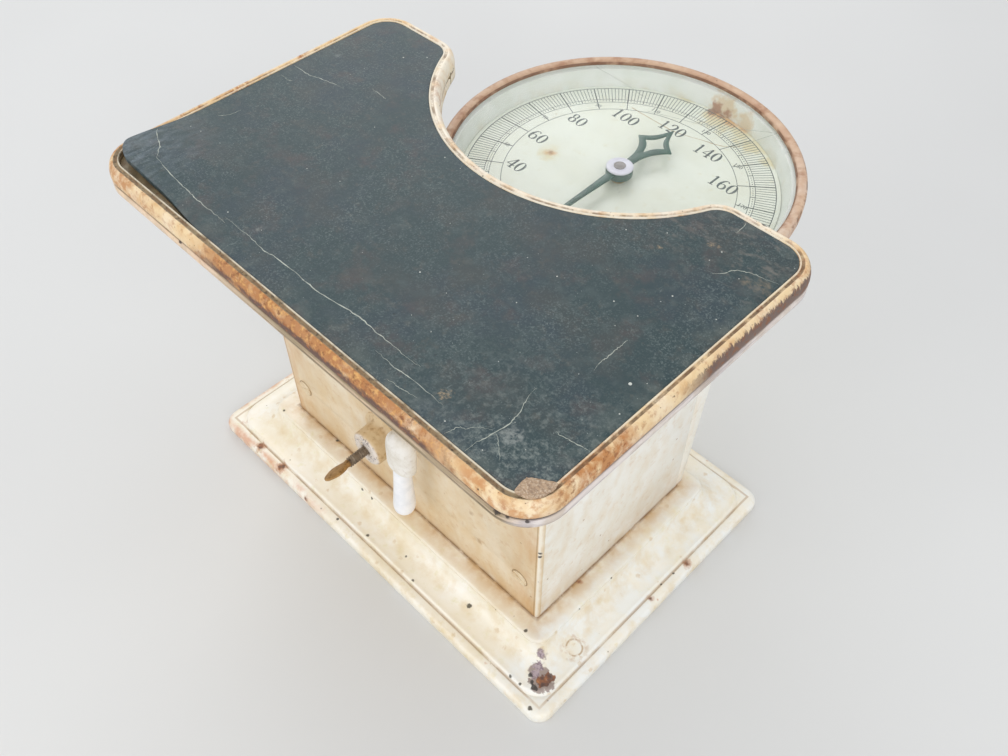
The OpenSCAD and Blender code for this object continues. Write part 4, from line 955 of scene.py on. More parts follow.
@dataclass(frozen=True)
class BezelPaint:
    """Paint on the spun bezel ring: aged to a pinkish brown, rubbed, with brown lines at its edges."""

    tint: str = "#c9a486"

    def build(self) -> bpy.types.Material:
        """Makes the material.

        Returns:
            The material.
        """
        c = Coat("aged bezel paint", self.tint, 0.45, IOR=1.5)
        c.cover("#dcc0a2", c.blotches(14, 0.45, 0.65, 6, 1), 0.75)
        c.cover("#dfcab6", c.blotches(10, 0.4, 0.6, 6, 5, within=c.where((c.x, 60, 96))), 0.7)
        c.cover("#a97a5c", c.blotches(9, 0.5, 0.64, 8, 2), 0.7, 0.6)
        dy = c.add("Math", {0: c.y, 1: DIAL_Y}, operation="SUBTRACT")
        arm = c.add("CombineXYZ", {0: c.x, 1: dy, 2: 0.0})
        r = c.add("VectorMath", {0: arm}, "Value", operation="LENGTH")
        c.cover("#6b4632", c.between(r, 101.7, 102.3, 0.25, c.blotches(9, 0.28, 0.5, 6, 3)), 0.75, 0.7)
        rust = c.rust(2.4, 4)
        rim = c.where((r, 106.8, 107.9), within=c.blotches(8, 0.46, 0.56, 8, 4))
        c.cover(rust, rim, 0.8, 0.75, -0.1)
        c.cover("#4b342a", c.specks(11, 0.8, 0.5, 2), 0.85, 0.75, -0.1)
        c.raise_by(c.blotches(3, 0.2, 0.8, 4, 9), 0.07)
        return c.done()


@dataclass(frozen=True)
class DialEnamel:
    """Vitreous enamel of the dial: an even greenish white gloss with two old rust stains."""

    tint: str = "#ecefe1"

    def build(self) -> bpy.types.Material:
        """Makes the material.

        Returns:
            The material.
        """
        c = Coat("vitreous dial enamel", self.tint, 0.28, IOR=1.52)
        c.cover("#e2e3cf", c.blotches(36, 0.42, 0.68, 4, 1), 0.8)
        c.cover("#d9d2ae", c.blotches(4, 0.6, 0.72, 6, 7), 0.5)
        # Rust has run in from the pan at the back right, and round one spot at the left
        z = FACE_TOP
        wide = [((-46, 55.1, z), 8.0), ((6, 158, z), 14.0), ((24, 156, z), 13.0), ((40, 151, z), 12.0),
                ((56, 145, z), 9.0), ((-22, 160, z), 7.0)]
        c.cover("#dccb92", c.marks(wide, 0.5, 7, 6), 0.65)
        mid = [((-46, 55.1, z), 4.2), ((3, 160, z), 6.5), ((14, 159.5, z), 6.5), ((24, 158.5, z), 4.5)]
        c.cover("#d59a50", c.marks(mid, 0.5, 4, 4), 0.8)
        core = [((-46, 55.1, z), 2.4), ((-1, 160.5, z), 5.0), ((6, 160.5, z), 3.6)]
        c.cover("#8d5a38", c.marks(core, 0.5, 3, 2.6), 0.8, 0.6)
        hub = c.ring((0, DIAL_Y, z), 0, 11, 6)
        c.cover("#6f6d58", c.specks(2.0, 0.4, 0.5, 5, hub), 0.8, 0.6)
        c.cover("#a3a089", c.specks(6, 0.4, 0.4, 6), 0.7)
        c.cover("#c2a878", c.specks(15, 0.7, 0.35, 2), 0.7)
        c.raise_by(c.blotches(9, 0.2, 0.8, 3, 4), 0.03)
        return c.done()


@dataclass(frozen=True)
class PanEnamel:
    """White enamel inside and outside the dial pan, cooler than the casing, yellowed in places."""

    tint: str = "#f4f6f0"

    def build(self) -> bpy.types.Material:
        """Makes the material.

        Returns:
            The material.
        """
        c = Coat("dial pan enamel", self.tint, 0.3, IOR=1.5)
        c.cover("#e4e8dc", c.blotches(16, 0.42, 0.66, 5, 1), 0.6)
        c.cover("#dcc694", c.where((c.z, 184, 172), within=c.blotches(12, 0.48, 0.66, 6, 2)), 0.6, 0.5)
        c.cover("#ddb878", c.marks([((4, 163.5, 180), 12.0), ((24, 161, 180), 9.0)], 0.5, 5, 6), 0.6, 0.5)
        c.cover("#a9693a", c.marks([((0, 163.5, 178.5), 5.5), ((9, 163.3, 179), 4.5)], 0.5, 3, 3), 0.8, 0.6)
        c.cover("#8a5f3c", c.specks(14, 0.9, 0.4, 2), 0.7, 0.7)
        c.raise_by(c.blotches(6, 0.2, 0.8, 3, 4), 0.05)
        return c.done()


class Metal(Enum):
    """Bare and painted metals: light tint, dark tint, metallic share and roughness."""

    IRON = ("#6f675f", "#3d342e", 0.55, 0.62)
    STEEL = ("#b9b4aa", "#7d776e", 1.0, 0.34)
    BRASS = ("#c9a660", "#8a6a34", 1.0, 0.32)
    BRONZE = ("#b8915c", "#8a6438", 0.55, 0.42)
    SCREW = ("#9a8a76", "#5c4c3e", 0.6, 0.5)


@dataclass(frozen=True)
class WornMetal:
    """A machined or cast metal with handling marks and stains along its surface."""

    kind: Metal
    stain: str = "#6b4128"
    amount: float = 0.5

    def build(self) -> bpy.types.Material:
        """Makes the material.

        Returns:
            The material.
        """
        light, dark, metallic, rough = self.kind.value
        c = Coat(f"worn {self.kind.name.lower()}", light, rough, Metallic=metallic)
        c.cover(dark, c.blotches(6, 0.42, 0.68, 6, 1), 0.75, min(rough + 0.15, 0.9))
        c.cover(self.stain, c.blotches(3.5, 0.62 - 0.12 * self.amount, 0.7, 8, 2), 0.8, 0.8, 0.03)
        c.raise_by(c.blotches(1.5, 0.2, 0.8, 4, 3), 0.04)
        return c.done()


@dataclass(frozen=True)
class FittingPaint:
    """Paint on the small front fittings: tan, greasy from hands, rubbed at the edges."""

    name: str
    tint: str
    shade: str
    chips: float

    def build(self) -> bpy.types.Material:
        """Makes the material.

        Returns:
            The material.
        """
        c = Coat(self.name, self.tint, 0.4, IOR=1.5)
        c.cover(self.shade, c.blotches(7, 0.42, 0.64, 6, 1), 0.8, 0.5)
        c.cover("#8a6242", c.blotches(3, 0.62 - 0.1 * self.chips, 0.72, 8, 2), 0.8 * self.chips, 0.65)
        c.cover("#3b2a20", c.specks(8, 0.6, 0.5 * self.chips, 3), 0.9, 0.75, -0.1)
        c.raise_by(c.blotches(3, 0.2, 0.8, 2, 4), 0.05 * self.chips)
        return c.done()


@dataclass(frozen=True)
class BossPaint:
    """Paint on the zero screw's boss: tan round its side, and on its face a pale coat that has
    flaked in small dark spots."""

    tint: str = "#dcc39a"
    face: float = FRONT_Y - 14.4

    def build(self) -> bpy.types.Material:
        """Makes the material.

        Returns:
            The material.
        """
        c = Coat("flaked boss paint", self.tint, 0.42, IOR=1.5)
        c.cover("#c9a878", c.blotches(6, 0.42, 0.64, 6, 1), 0.8, 0.5)
        c.cover("#a88258", c.blotches(3, 0.54, 0.68, 7, 2), 0.6)
        front = c.where((c.y, self.face + 0.8, self.face))
        c.cover("#e6ddd4", c.blotches(5, 0.3, 0.5, 5, 3, within=front), 0.9)
        flaked = c.blotches(5, 0.38, 0.6, 3, 5, within=front)
        c.cover("#6f6468", c.blotches(1.3, 0.5, 0.6, 5, 4, within=flaked), 0.85, 0.7, -0.06)
        c.raise_by(c.blotches(3, 0.2, 0.8, 2, 6), 0.05)
        return c.done()


@dataclass(frozen=True)
class PrintInk:
    """Ink fired on the dial: a dark slate, slightly thin in places."""

    tint: str = "#35403f"

    def build(self) -> bpy.types.Material:
        """Makes the material.

        Returns:
            The material.
        """
        c = Coat("dial ink", self.tint, 0.4, IOR=1.5)
        c.cover("#6e7469", c.blotches(5, 0.46, 0.72, 6, 1), 0.7)
        return c.done()


@dataclass(frozen=True)
class HandPaint:
    """Gloss paint on the dial hand: dark green with a few dull patches."""

    tint: str = "#2a5648"

    def build(self) -> bpy.types.Material:
        """Makes the material.

        Returns:
            The material.
        """
        c = Coat("dark green hand paint", self.tint, 0.3, IOR=1.5)
        c.cover("#1c3d34", c.blotches(8, 0.42, 0.66, 5, 1), 0.8)
        c.cover("#47765f", c.blotches(4, 0.56, 0.72, 7, 2), 0.6, 0.45)
        c.raise_by(c.blotches(2, 0.2, 0.8, 4, 3), 0.02)
        return c.done()


@dataclass(frozen=True)
class DialGlass:
    """Thin sheet glass: clear, faintly green, with reflections that grow at a low angle and a
    film of dust."""

    def build(self) -> bpy.types.Material:
        """Makes the material.

        Returns:
            The material.
        """
        c = Coat("dial sheet glass", "#e6f2ea", 0.06, IOR=1.5)
        c.cover("#f2f5ef", c.blotches(22, 0.4, 0.7, 6, 1), 0.8)
        lean = c.add("LayerWeight", {"Blend": 0.5}, "Facing")
        steep = c.add("Math", {0: lean, 1: 4.0}, operation="POWER")
        dust = c.blotches(26, 0.45, 0.75, 7, 2)
        thin = c.add("Math", {0: dust, 1: 0.04, 2: 0.035}, operation="MULTIPLY_ADD")
        clear = c.add("Math", {0: steep, 1: 0.8, 2: thin}, operation="MULTIPLY_ADD", use_clamp=True)
        c.tree.links.new(clear, c.shader.inputs["Alpha"])
        return c.done()


class Shop:
    """All finishes, each built once."""

    def __init__(self) -> None:
        """Builds every finish."""
        self.plinth = PlinthEnamel().build()
        # The front panel's tan tint is partly dirt and partly painted shade; the side panels keep the paler
        # enamel
        self.front = PanelEnamel("front panel enamel with dirt and painted shade", "#dfcaa8", "#efe3cd", 1.0).build()
        self.side = PanelEnamel("side panel enamel", "#f1ede1", "#fbfaf4", 0.6).build()
        self.rim = RimPaint().build()
        self.mat = MatRubber().build()
        self.backing = MatBacking().build()
        self.glue = FittingPaint("old mat glue", "#9d8a68", "#6f5f45", 1.0).build()
        self.bezel = BezelPaint().build()
        self.dial = DialEnamel().build()
        self.pan = PanEnamel().build()
        self.iron = WornMetal(Metal.IRON).build()
        self.steel = WornMetal(Metal.STEEL, amount=0.3).build()
        self.brass = WornMetal(Metal.BRASS, "#6a5a2a", 0.2).build()
        self.bronze = WornMetal(Metal.BRONZE, "#6b4c2c", 0.5).build()
        self.thread = WornMetal(Metal.SCREW, "#3d3128", 0.5).build()
        self.boss = BossPaint().build()
        self.fitting = FittingPaint("tan fitting paint", "#dcc59c", "#c3a273", 1.0).build()
        self.heads = FittingPaint("painted screw heads", "#e2cfae", "#cfb288", 0.5).build()
        self.handle = FittingPaint("white handle enamel", "#f7f7f8", "#e9ebee", 0.12).build()
        self.collar = FittingPaint("worn collar enamel", "#eeeae2", "#dcd5c6", 0.4).build()
        self.cap = FittingPaint("white cap paint", "#e9e7f0", "#d6d3df", 0.1).build()
        self.button = FittingPaint("grey cap button", "#a39b98", "#7f7673", 0.3).build()
        self.ink = PrintInk().build()
        self.hand = HandPaint().build()
        self.glass = DialGlass().build()
        self.fleck = FittingPaint("pale paint flecks", "#c9ccc4", "#a9aea6", 0.2).build()
        self.crack = FittingPaint("pale crack dust", "#b3b8ab", "#8a9088", 0.3).build()
        self.crazing = FittingPaint("dirt in the glass cracks", "#8b9186", "#b5b9ac", 0.2).build()
        self.ochre = FittingPaint("ochre dirt line", "#c2a878", "#a58a5c", 0.3).build()


# Geometry Nodes


class Repeater:
    """A Geometry Nodes tree with named inputs, built node by node."""

    def __init__(self, name: str) -> None:
        """Starts an empty tree with a geometry output.

        Args:
            name: The tree's name.
        """
        self.group = bpy.data.node_groups.new(name, "GeometryNodeTree")
        self.group.interface.new_socket("Geometry", in_out="OUTPUT", socket_type="NodeSocketGeometry")
        self.entry = self.group.nodes.new("NodeGroupInput")
        self.exit = self.group.nodes.new("NodeGroupOutput")
        self.values: dict[str, object] = {}

    def size(self, name: str, value: float | int) -> Socket:
        """Adds a named input.

        Args:
            name: The input's name.
            value: Its value.

        Returns:
            Its socket.
        """
        kind = "NodeSocketInt" if isinstance(value, int) else "NodeSocketFloat"
        item = self.group.interface.new_socket(name, in_out="INPUT", socket_type=kind)
        self.values[item.identifier] = value
        return self.entry.outputs[name]

    def add(self, kind: str, inputs: dict, out: int | str = 0, **settings: object) -> Socket:
        """Adds a node and hands one of its outputs back."""
        return add_node(self.group, kind, inputs, settings).outputs[out]

    def wind(self, turns: float, radius: float, length: float, thick: float, steps: int,
             sides: int) -> Socket:
        """Sweeps a round section along a coil that climbs +Z.

        Args:
            turns: Number of turns.
            radius: Mean radius of the coil in millimetres.
            length: How far it climbs.
            thick: Radius of the section.
            steps: Steps in one turn.
            sides: Sides of the section.

        Returns:
            The coil.
        """
        around, rise = self.size("Turns", turns), self.size("Length", length * MM)
        wide, wire = self.size("Coil radius", radius * MM), self.size("Wire radius", thick * MM)
        line = self.add("GeometryNodeCurveSpiral", {"Resolution": steps, "Rotations": around,
                                                    "Start Radius": wide, "End Radius": wide, "Height": rise})
        edge = self.add("GeometryNodeCurvePrimitiveCircle", {"Resolution": sides, "Radius": wire})
        return self.add("GeometryNodeCurveToMesh", {"Curve": line, "Profile Curve": edge, "Fill Caps": True})

    def grow(self, name: str, geometry: Socket, material: bpy.types.Material) -> bpy.types.Object:
        """Ends the tree, runs it and turns its result into a plain mesh.

        Args:
            name: The piece's name.
            geometry: What the tree makes.
            material: Its finish.

        Returns:
            The piece, at the origin.
        """
        real = self.add("GeometryNodeRealizeInstances", {0: geometry})
        dressed = self.add("GeometryNodeSetMaterial", {0: real, "Material": material})
        self.group.links.new(dressed, self.exit.inputs[0])
        piece = placed(name, bpy.data.meshes.new(name))
        mod = piece.modifiers.new("rule", "NODES")
        mod.node_group = self.group
        for key, value in self.values.items():
            mod[key] = value
        return Bench.settle(piece)


# Sub-assemblies


@dataclass
class Part:
    """A sub-assembly, with the finishes that its pieces get."""

    shop: Shop

    def make(self) -> None:
        """Builds and dresses the pieces."""
        raise NotImplementedError


@dataclass
class Plinth(Part):
    """The cast base: a rounded lip, a groove, a bead and a hollow curve up to a ridge."""

    width: float = 306
    depth: float = 212
    corner: float = 9
    groove_corner: float = 17
    ridge_corner: float = 8
    lip: float = 8
    groove: float = 6.6
    ridge: float = 28
    rib: float = 4
    rib_low: float = 12
    rib_high: float = 18.5

    def ring(self, inset: float, z: float) -> list[Point]:
        """The base's outline moved inwards.

        Args:
            inset: Distance from the outer edge.
            z: Height of the ring.

        Returns:
            The ring's points.
        """
        if inset < self.groove:
            r = self.corner + (self.groove_corner - self.corner) * inset / self.groove
        else:
            share = min(1.0, (inset - self.groove) / (self.ridge - self.groove))
            r = self.groove_corner + (self.ridge_corner - self.groove_corner) * share
        x, y = self.width / 2 - inset - r, self.depth / 2 - inset - r
        flat: list[Flat] = []
        for sx, sy, start in ((1, -1, -90), (1, 1, 0), (-1, 1, 90), (-1, -1, 180)):
            flat += arc((sx * x, BASE_Y + sy * y), r, start, start + 90, 12)
        return [(px, py, z) for px, py in flat]

    def section(self) -> list[Flat]:
        """Draws the moulding from the floor up to its flat top.

        Returns:
            Inset and height of each point.
        """
        lip_r, bead = 3.4, self.lip + 2.4
        points = [(0.5, 0.0), (0.1, 0.5), (0.0, 1.2), (0.0, self.lip - lip_r)]
        points += [(lip_r * (1 - math.cos(a)), self.lip - lip_r + lip_r * math.sin(a))
                   for a in QUARTER]
        points += [(self.groove - 1.3, self.lip + 0.35), (self.groove - 0.6, self.lip + 0.1),
                   (self.groove, self.lip - 0.5), (self.groove + 0.4, self.lip - 0.1),
                   (self.groove + 0.8, self.lip + 1.2), (self.groove + 1.5, bead - 0.3),
                   (self.groove + 2.3, bead), (self.groove + 3.0, bead - 0.25)]
        start, run = self.groove + 3.4, self.ridge - self.groove - 4.2
        for i in range(1, 15):
            a = math.radians(90 * i / 15)
            points.append((start + run * math.sin(a) ** 0.94,
                           bead - 0.3 + (BASE_TOP + 0.1 - bead) * (1 - math.cos(a)) ** 1.1))
        points += [(self.ridge - 0.5, BASE_TOP - 1.6), (self.ridge - 0.2, BASE_TOP - 0.5),
                   (self.ridge + 0.5, BASE_TOP), (self.ridge + 2.0, BASE_TOP), (60.0, BASE_TOP)]
        return points

    def make(self) -> None:
        """Builds the base with its stepped hollow underside and ribs."""
        shell = Shell()
        under = [(60.0, 18.0), (30.0, 18.0), (30.0, 8.0), (20.0, 8.0), (20.0, 4.5), (6.6, 4.5), (6.6, 0.0)]
        shell.loft([self.ring(u, z) for u, z in reversed(self.section())]
                   + [self.ring(u, z) for u, z in reversed(under)])
        piece = Bench.mesh("moulded_plinth", shell)
        ribs = Shell()
        half, reach = self.rib / 2, self.depth / 3
        for y in (-1, 1):
            mid = BASE_Y + y * self.depth / 6
            ribs.box((-BOX_HALF, mid - half, self.rib_low), (BOX_HALF, mid + half, self.rib_high))
        for x in (-1, 0, 1):
            mid = x * BOX_HALF * 2 / 3
            ribs.box((mid - half, BASE_Y - reach, self.rib_low), (mid + half, BASE_Y + reach, self.rib_high))
        Bench.finish(piece, "stand", self.shop.plinth, "enamel", ["base_plinth"], 50)
        Bench.finish(Bench.bevel(Bench.mesh("plinth_ribs", ribs), 0.6), "stand", self.shop.plinth, "enamel")


@dataclass
class Casing(Part):
    """The sheet-iron casing, its boss, its bush and its two front screws."""

    head: float = 11
    boss_r: float = 12
    boss_flare: float = 5
    boss_long: float = 15
    boss: Point = (-15, FRONT_Y, 81)
    bush: Point = (17, FRONT_Y, 118)

    def make(self) -> None:
        """Builds and dresses the casing."""
        for node, name, width in (("front_panel", "front_sheet", 0.9), ("left_panel", "left_sheet", 0.5),
                                  ("right_panel", "right_sheet", 0.5), ("rear_cover", "rear_sheet", 0.8)):
            piece = Bench.bevel(Bench.copy(node, name), width, 3)
            finish = self.shop.front if node == "front_panel" else self.shop.side
            Bench.finish(piece, "stand", finish, "enamel", [node])
        self.heads()
        self.fittings()

    def heads(self) -> None:
        """Builds the slotted flush heads of the front screws."""
        shell = Shell()
        r = self.head / 2
        profile = [(0, -7), (2, -7), (2, 0), (r - 0.1, 0), (r, 0.25), (r - 0.15, 0.6), (r - 0.5, 0.72),
                   (r - 0.9, 0.6), (r - 1.2, 0.36), (0, 0.42)]
        for s in (-1, 1):
            shell.lathe(profile, forwards((s * SCREW_X, FRONT_Y, SCREW_Z)), 48)
        piece = Bench.mesh("front_screw_heads", shell)
        cut = Shell()
        for s, lean in ((-1, 0.5), (1, -0.35)):
            c, d = math.cos(lean), math.sin(lean)
            flat = [(a * c - b * d, a * d + b * c) for a, b in ((-7, -0.5), (7, -0.5), (7, 0.5), (-7, 0.5))]
            cut.loft([[(s * SCREW_X + a, FRONT_Y - h, SCREW_Z + b) for a, b in flat] for h in (0.12, 3.0)])
        knife = Bench.mesh("slot_cutter", cut)
        mod = piece.modifiers.new("slot", "BOOLEAN")
        mod.operation, mod.object, mod.solver = "DIFFERENCE", knife, "EXACT"
        Bench.settle(piece)
        bpy.data.objects.remove(knife)
        Bench.finish(piece, "stand", self.shop.heads, "fitting_paint", ["front_panel_screws"])

    def fittings(self) -> None:
        """Builds the zero screw's boss with its flared foot and the lever's bush."""
        r, flare, long = self.boss_r, self.boss_flare, self.boss_long
        profile = [(3.25, -3.2), (r * 2 / 3, -3.2), (r * 2 / 3, 0.0), (r + flare, 0.0), (r + flare, 0.5)]
        profile += [(r + flare * (1 - math.sin(a)), 0.4 + 4.4 * (1 - math.cos(a))) for a in QUARTER]
        profile += [(r - 0.2, 9.0), (r - 0.25, long - 3.0)]
        profile += [(r - 0.25 - 2.6 * (1 - math.cos(a)), long - 2.6 * (1 - math.sin(a))) for a in QUARTER]
        profile += [(4.4, long), (3.6, long - 0.5), (3.25, long - 1.2)]
        boss = Bench.mesh("screw_boss", Shell().lathe(profile, forwards(self.boss), 96))
        Bench.finish(boss, "stand", self.shop.boss, "fitting_paint", ["zero_screw_boss"], 40)
        profile = [(4.07, -4.4), (5.9, -4.4), (5.9, 0.0), (8.6, 0.0), (9.0, 0.5), (9.0, 3.0), (8.2, 3.9),
                   (4.6, 3.9), (4.07, 3.4)]
        bush = Bench.mesh("lever_bush", Shell().lathe(profile, forwards(self.bush), 64))
        Bench.finish(bush, "stand", self.shop.fitting, "fitting_paint", ["lock_bush"], 40)


@dataclass
class Platform(Part):
    """The cast platform with its rounded rim and notch, and the mat that lies in it."""

    half: float = 154.5
    front: float = -173.95
    back: float = 26.05
    corner: float = 20.5
    notch: Flat = (0, 58.65)
    notch_r: float = 98
    horn: Flat = (104.38, 8.05)
    horn_r: float = 18
    top: float = 242
    rim_w: float = 6.4
    post_x: float = 88
    post_ys: Flat = (-96.15, -16.15)

    def outline(self, inset: float) -> list[Flat]:
        """The platform's outline moved inwards, anticlockwise from the front left corner.

        Args:
            inset: Distance from the outer edge.

        Returns:
            The outline's points.
        """
        r, turn = self.corner - inset, math.degrees(math.atan2(self.notch[1] - self.horn[1], self.horn[0]))
        x, near, far = self.half - self.corner, self.front + self.corner, self.back - self.corner
        flat = arc((-x, near), r, 180, 270, 12) + arc((x, near), r, 270, 360, 12)
        flat += arc((x, far), r, 0, 90, 12)
        flat += arc(self.horn, self.horn_r - inset, 90, 180 - turn, 10)
        flat += arc(self.notch, self.notch_r + inset, -turn, turn - 180, 64)[1:-1]
        flat += arc((-self.horn[0], self.horn[1]), self.horn_r - inset, turn, 90, 10)
        flat += arc((-x, far), r, 90, 180, 12)
        return flat

    def ring(self, inset: float, z: float, counts: Sequence[int]) -> list[Point]:
        """The outline at an inset and a height, cut finely on its straight sides."""
        return [(x, y, z) for x, y in spread(self.outline(inset), counts)]

    def section(self) -> list[Flat]:
        """Draws the rim's closed section.

        Returns:
            Inset and height of each point.
        """
        top, low = self.top, self.top - 15
        points = [(0.9, low), (0.3, low + 0.3), (0.0, low + 1.0), (0.0, low + 4.4), (0.3, low + 4.9),
                  (1.0, low + 5.2), (1.3, low + 5.7), (1.2, low + 6.2), (0.6, low + 6.6), (0.1, low + 7.0)]
        for d in range(8, 91, 8):
            a = math.radians(d)
            points.append((3.3 * (1 - math.cos(a)) ** 1.05, low + 7.0 + 8.2 * math.sin(a) ** 0.9))
        points += [(3.7, top + 0.1), (4.0, top - 0.25), (4.4, top - 0.5), (5.0, top - 0.45),
                   (5.35, top - 0.1), (5.6, top + 0.3), (6.05, top + 0.36), (6.3, top + 0.1),
                   (self.rim_w, top - 0.5), (self.rim_w, top - 5.5), (3.5, top - 8), (3.0, low)]
        return points

    def make(self) -> None:
        """Builds and dresses the platform."""
        self.casting()
        self.sheet()
        self.wear()

    def casting(self) -> None:
        """Builds the rim, the plate, its ribs and the sockets for the posts."""
        counts = filled(self.outline(0), 6)
        shell = Shell()
        rings = []
        for i, (u, z) in enumerate(self.section()):
            ring = []
            for x, y, h in self.ring(u, z, counts):
                # A cast and hammered rim is never quite true
                sway = noise.noise(Vector((x * 0.03, y * 0.03, 3.0))) * 0.18
                ring.append((x, y, h + (sway if h > self.top - 14 else 0.0)))
            rings.append(ring)
        shell.loft(rings, loop=True)
        piece = Bench.mesh("platform_rim", shell)
        across = piece.data.attributes.new("inset", "FLOAT", "POINT")
        for i, (u, _) in enumerate(self.section()):
            for k in range(len(rings[0])):
                across.data[i * len(rings[0]) + k].value = u
        Bench.finish(piece, "platform", self.shop.rim, "rim_paint", ["platform_casting"], 50)
        plate = Shell().loft([self.ring(5.9, z, counts) for z in (self.top - 7, self.top - 3)])
        low, high = self.top - 14, self.top - 6.5
        for y in self.post_ys:
            inner = 0.0 if y < -60 else math.sqrt((self.notch_r + 3.3) ** 2 - (self.notch[1] - y) ** 2)
            for s in (-1, 1):
                a, b = sorted((s * inner, s * (self.half - 2.6)))
                plate.box((a, y - 2, low), (b, y + 2, high))
        for x in (-self.post_x, -self.post_x / 3, self.post_x / 3, self.post_x):
            reach = self.notch[1] - math.sqrt((self.notch_r + 3.3) ** 2 - (abs(x) + 2) ** 2)
            plate.box((x - 2, self.front + 2.6, low), (x + 2, reach, high))
        for x in (-self.post_x, self.post_x):
            for y in self.post_ys:
                for s in (-1, 1):
                    plate.box((x - 7, y + s * 7.6 - 1.5, low), (x + 7, y + s * 7.6 + 1.5, high))
                    plate.box((x + s * 5.6 - 1.5, y - 9, low), (x + s * 5.6 + 1.5, y + 9, high))
        Bench.finish(Bench.mesh("platform_plate", plate), "platform", self.shop.glue, "rim_paint")

    def sway(self, x: float, y: float) -> float:
        """How far the mat's top strays from its level.

        Args:
            x: Place along X.
            y: Place along Y.

        Returns:
            The rise in millimetres.
        """
        rise = noise.noise(Vector((x * 0.02, y * 0.02, 0.0))) * 0.22
        rise += noise.noise(Vector((x * 0.09, y * 0.09, 5.0))) * 0.08 - 0.12
        # The front left corner has come unglued and curls up
        curl = eased((-92 - x) / 56) * eased((-112 - y) / 50)
        return rise + 4.4 * curl

    def sheet(self) -> None:
        """Builds the mat as a fine grid, a little uneven, with its front left corner curled up."""
        counts = filled(self.outline(6.5), 6)
        shell = Shell().loft([self.ring(self.rim_w + 0.12, z, counts) for z in (self.top - 3, self.top)])
        piece = Bench.mesh("rubber_mat", shell)
        bm = bmesh.new()
        bm.from_mesh(piece.data)
        bmesh.ops.triangulate(bm, faces=[f for f in bm.faces if len(f.verts) > 4])
        for axis, low, high in ((0, -147, 150), (1, -167, 22)):
            for at in range(low, high, 5):
                point, normal = [0.0] * 3, [0.0] * 3
                point[axis], normal[axis] = at * MM, 1.0
                bmesh.ops.bisect_plane(bm, geom=bm.verts[:] + bm.edges[:] + bm.faces[:],
                                       plane_co=point, plane_no=normal)
        bm.to_mesh(piece.data)
        bm.free()
        Bench.bevel(piece, 0.5, 2, 60)
        for v in piece.data.vertices:
            x, y, z = (c / MM for c in v.co)
            rise = self.sway(x, y)
            v.co.z += (rise if z > self.top - 1.6 else max(rise, 0.0)) * MM
            # There the front edge has also shrunk away from the rim
            v.co.y += 3.4 * eased((-66 - x) / 40) * eased((-152 - y) / 15) * MM
        Bench.finish(piece, "platform", self.shop.mat, "mat", ["platform_mat"], 60)

    def wear(self) -> None:
        """Builds the mat's dust-filled cracks, its flecks of paint and its peeled corner."""
        cracks = Shell()
        rng = random.Random(11)
        for width, points in MAT_CRACKS:
            path = smooth_path([(x, y, width) for x, y in points], 5)
            last = len(path) - 1
            line = []
            for i, (x, y, w) in enumerate(path):
                taper = min(1.0, 0.15 + 3.0 * min(i, last - i) / max(last, 1))
                line.append((x + rng.uniform(-0.3, 0.3), y + rng.uniform(-0.3, 0.3),
                             0.62 * w * taper * rng.uniform(0.35, 1.3)))
            cracks.strip(line, self.top - 0.3, self.top + 0.05, self.sway)
        Bench.finish(Bench.mesh("mat_cracks", cracks, 0.0), "platform", self.shop.crack, "mat")
        flecks = Shell()
        for i, (x, y) in enumerate(MAT_FLECKS):
            r = rng.uniform(0.22, 0.46) if i else 0.9
            place = upright((x, y, self.top + self.sway(x, y)))
            flecks.lathe([(0, -0.2), (r, -0.2), (0.85 * r, 0.1), (0, 0.16)], place, 9)
        Bench.finish(Bench.mesh("paint_flecks", flecks), "platform", self.shop.fleck, "mat")
        ring = smooth_path((*MAT_PEEL, MAT_PEEL[0]), 5)[:-1]
        ring = [(x + rng.uniform(-0.2, 0.2), y + rng.uniform(-0.2, 0.2)) for x, y in ring]
        cx, cy = (sum(c) / len(ring) for c in zip(*ring))
        rings = []
        for share, up in ((1.0, -0.5), (1.0, 0.25), (0.9, 0.42), (0.5, 0.3)):
            level = [(cx + (x - cx) * share, cy + (y - cy) * share) for x, y in ring]
            rings.append([(x, y, self.top + up + 0.5 * eased((-158 - y) / 8)) for x, y in level])
        peel = Shell().loft(rings)
        Bench.finish(Bench.mesh("peeled_corner", peel), "platform", self.shop.backing, "mat")


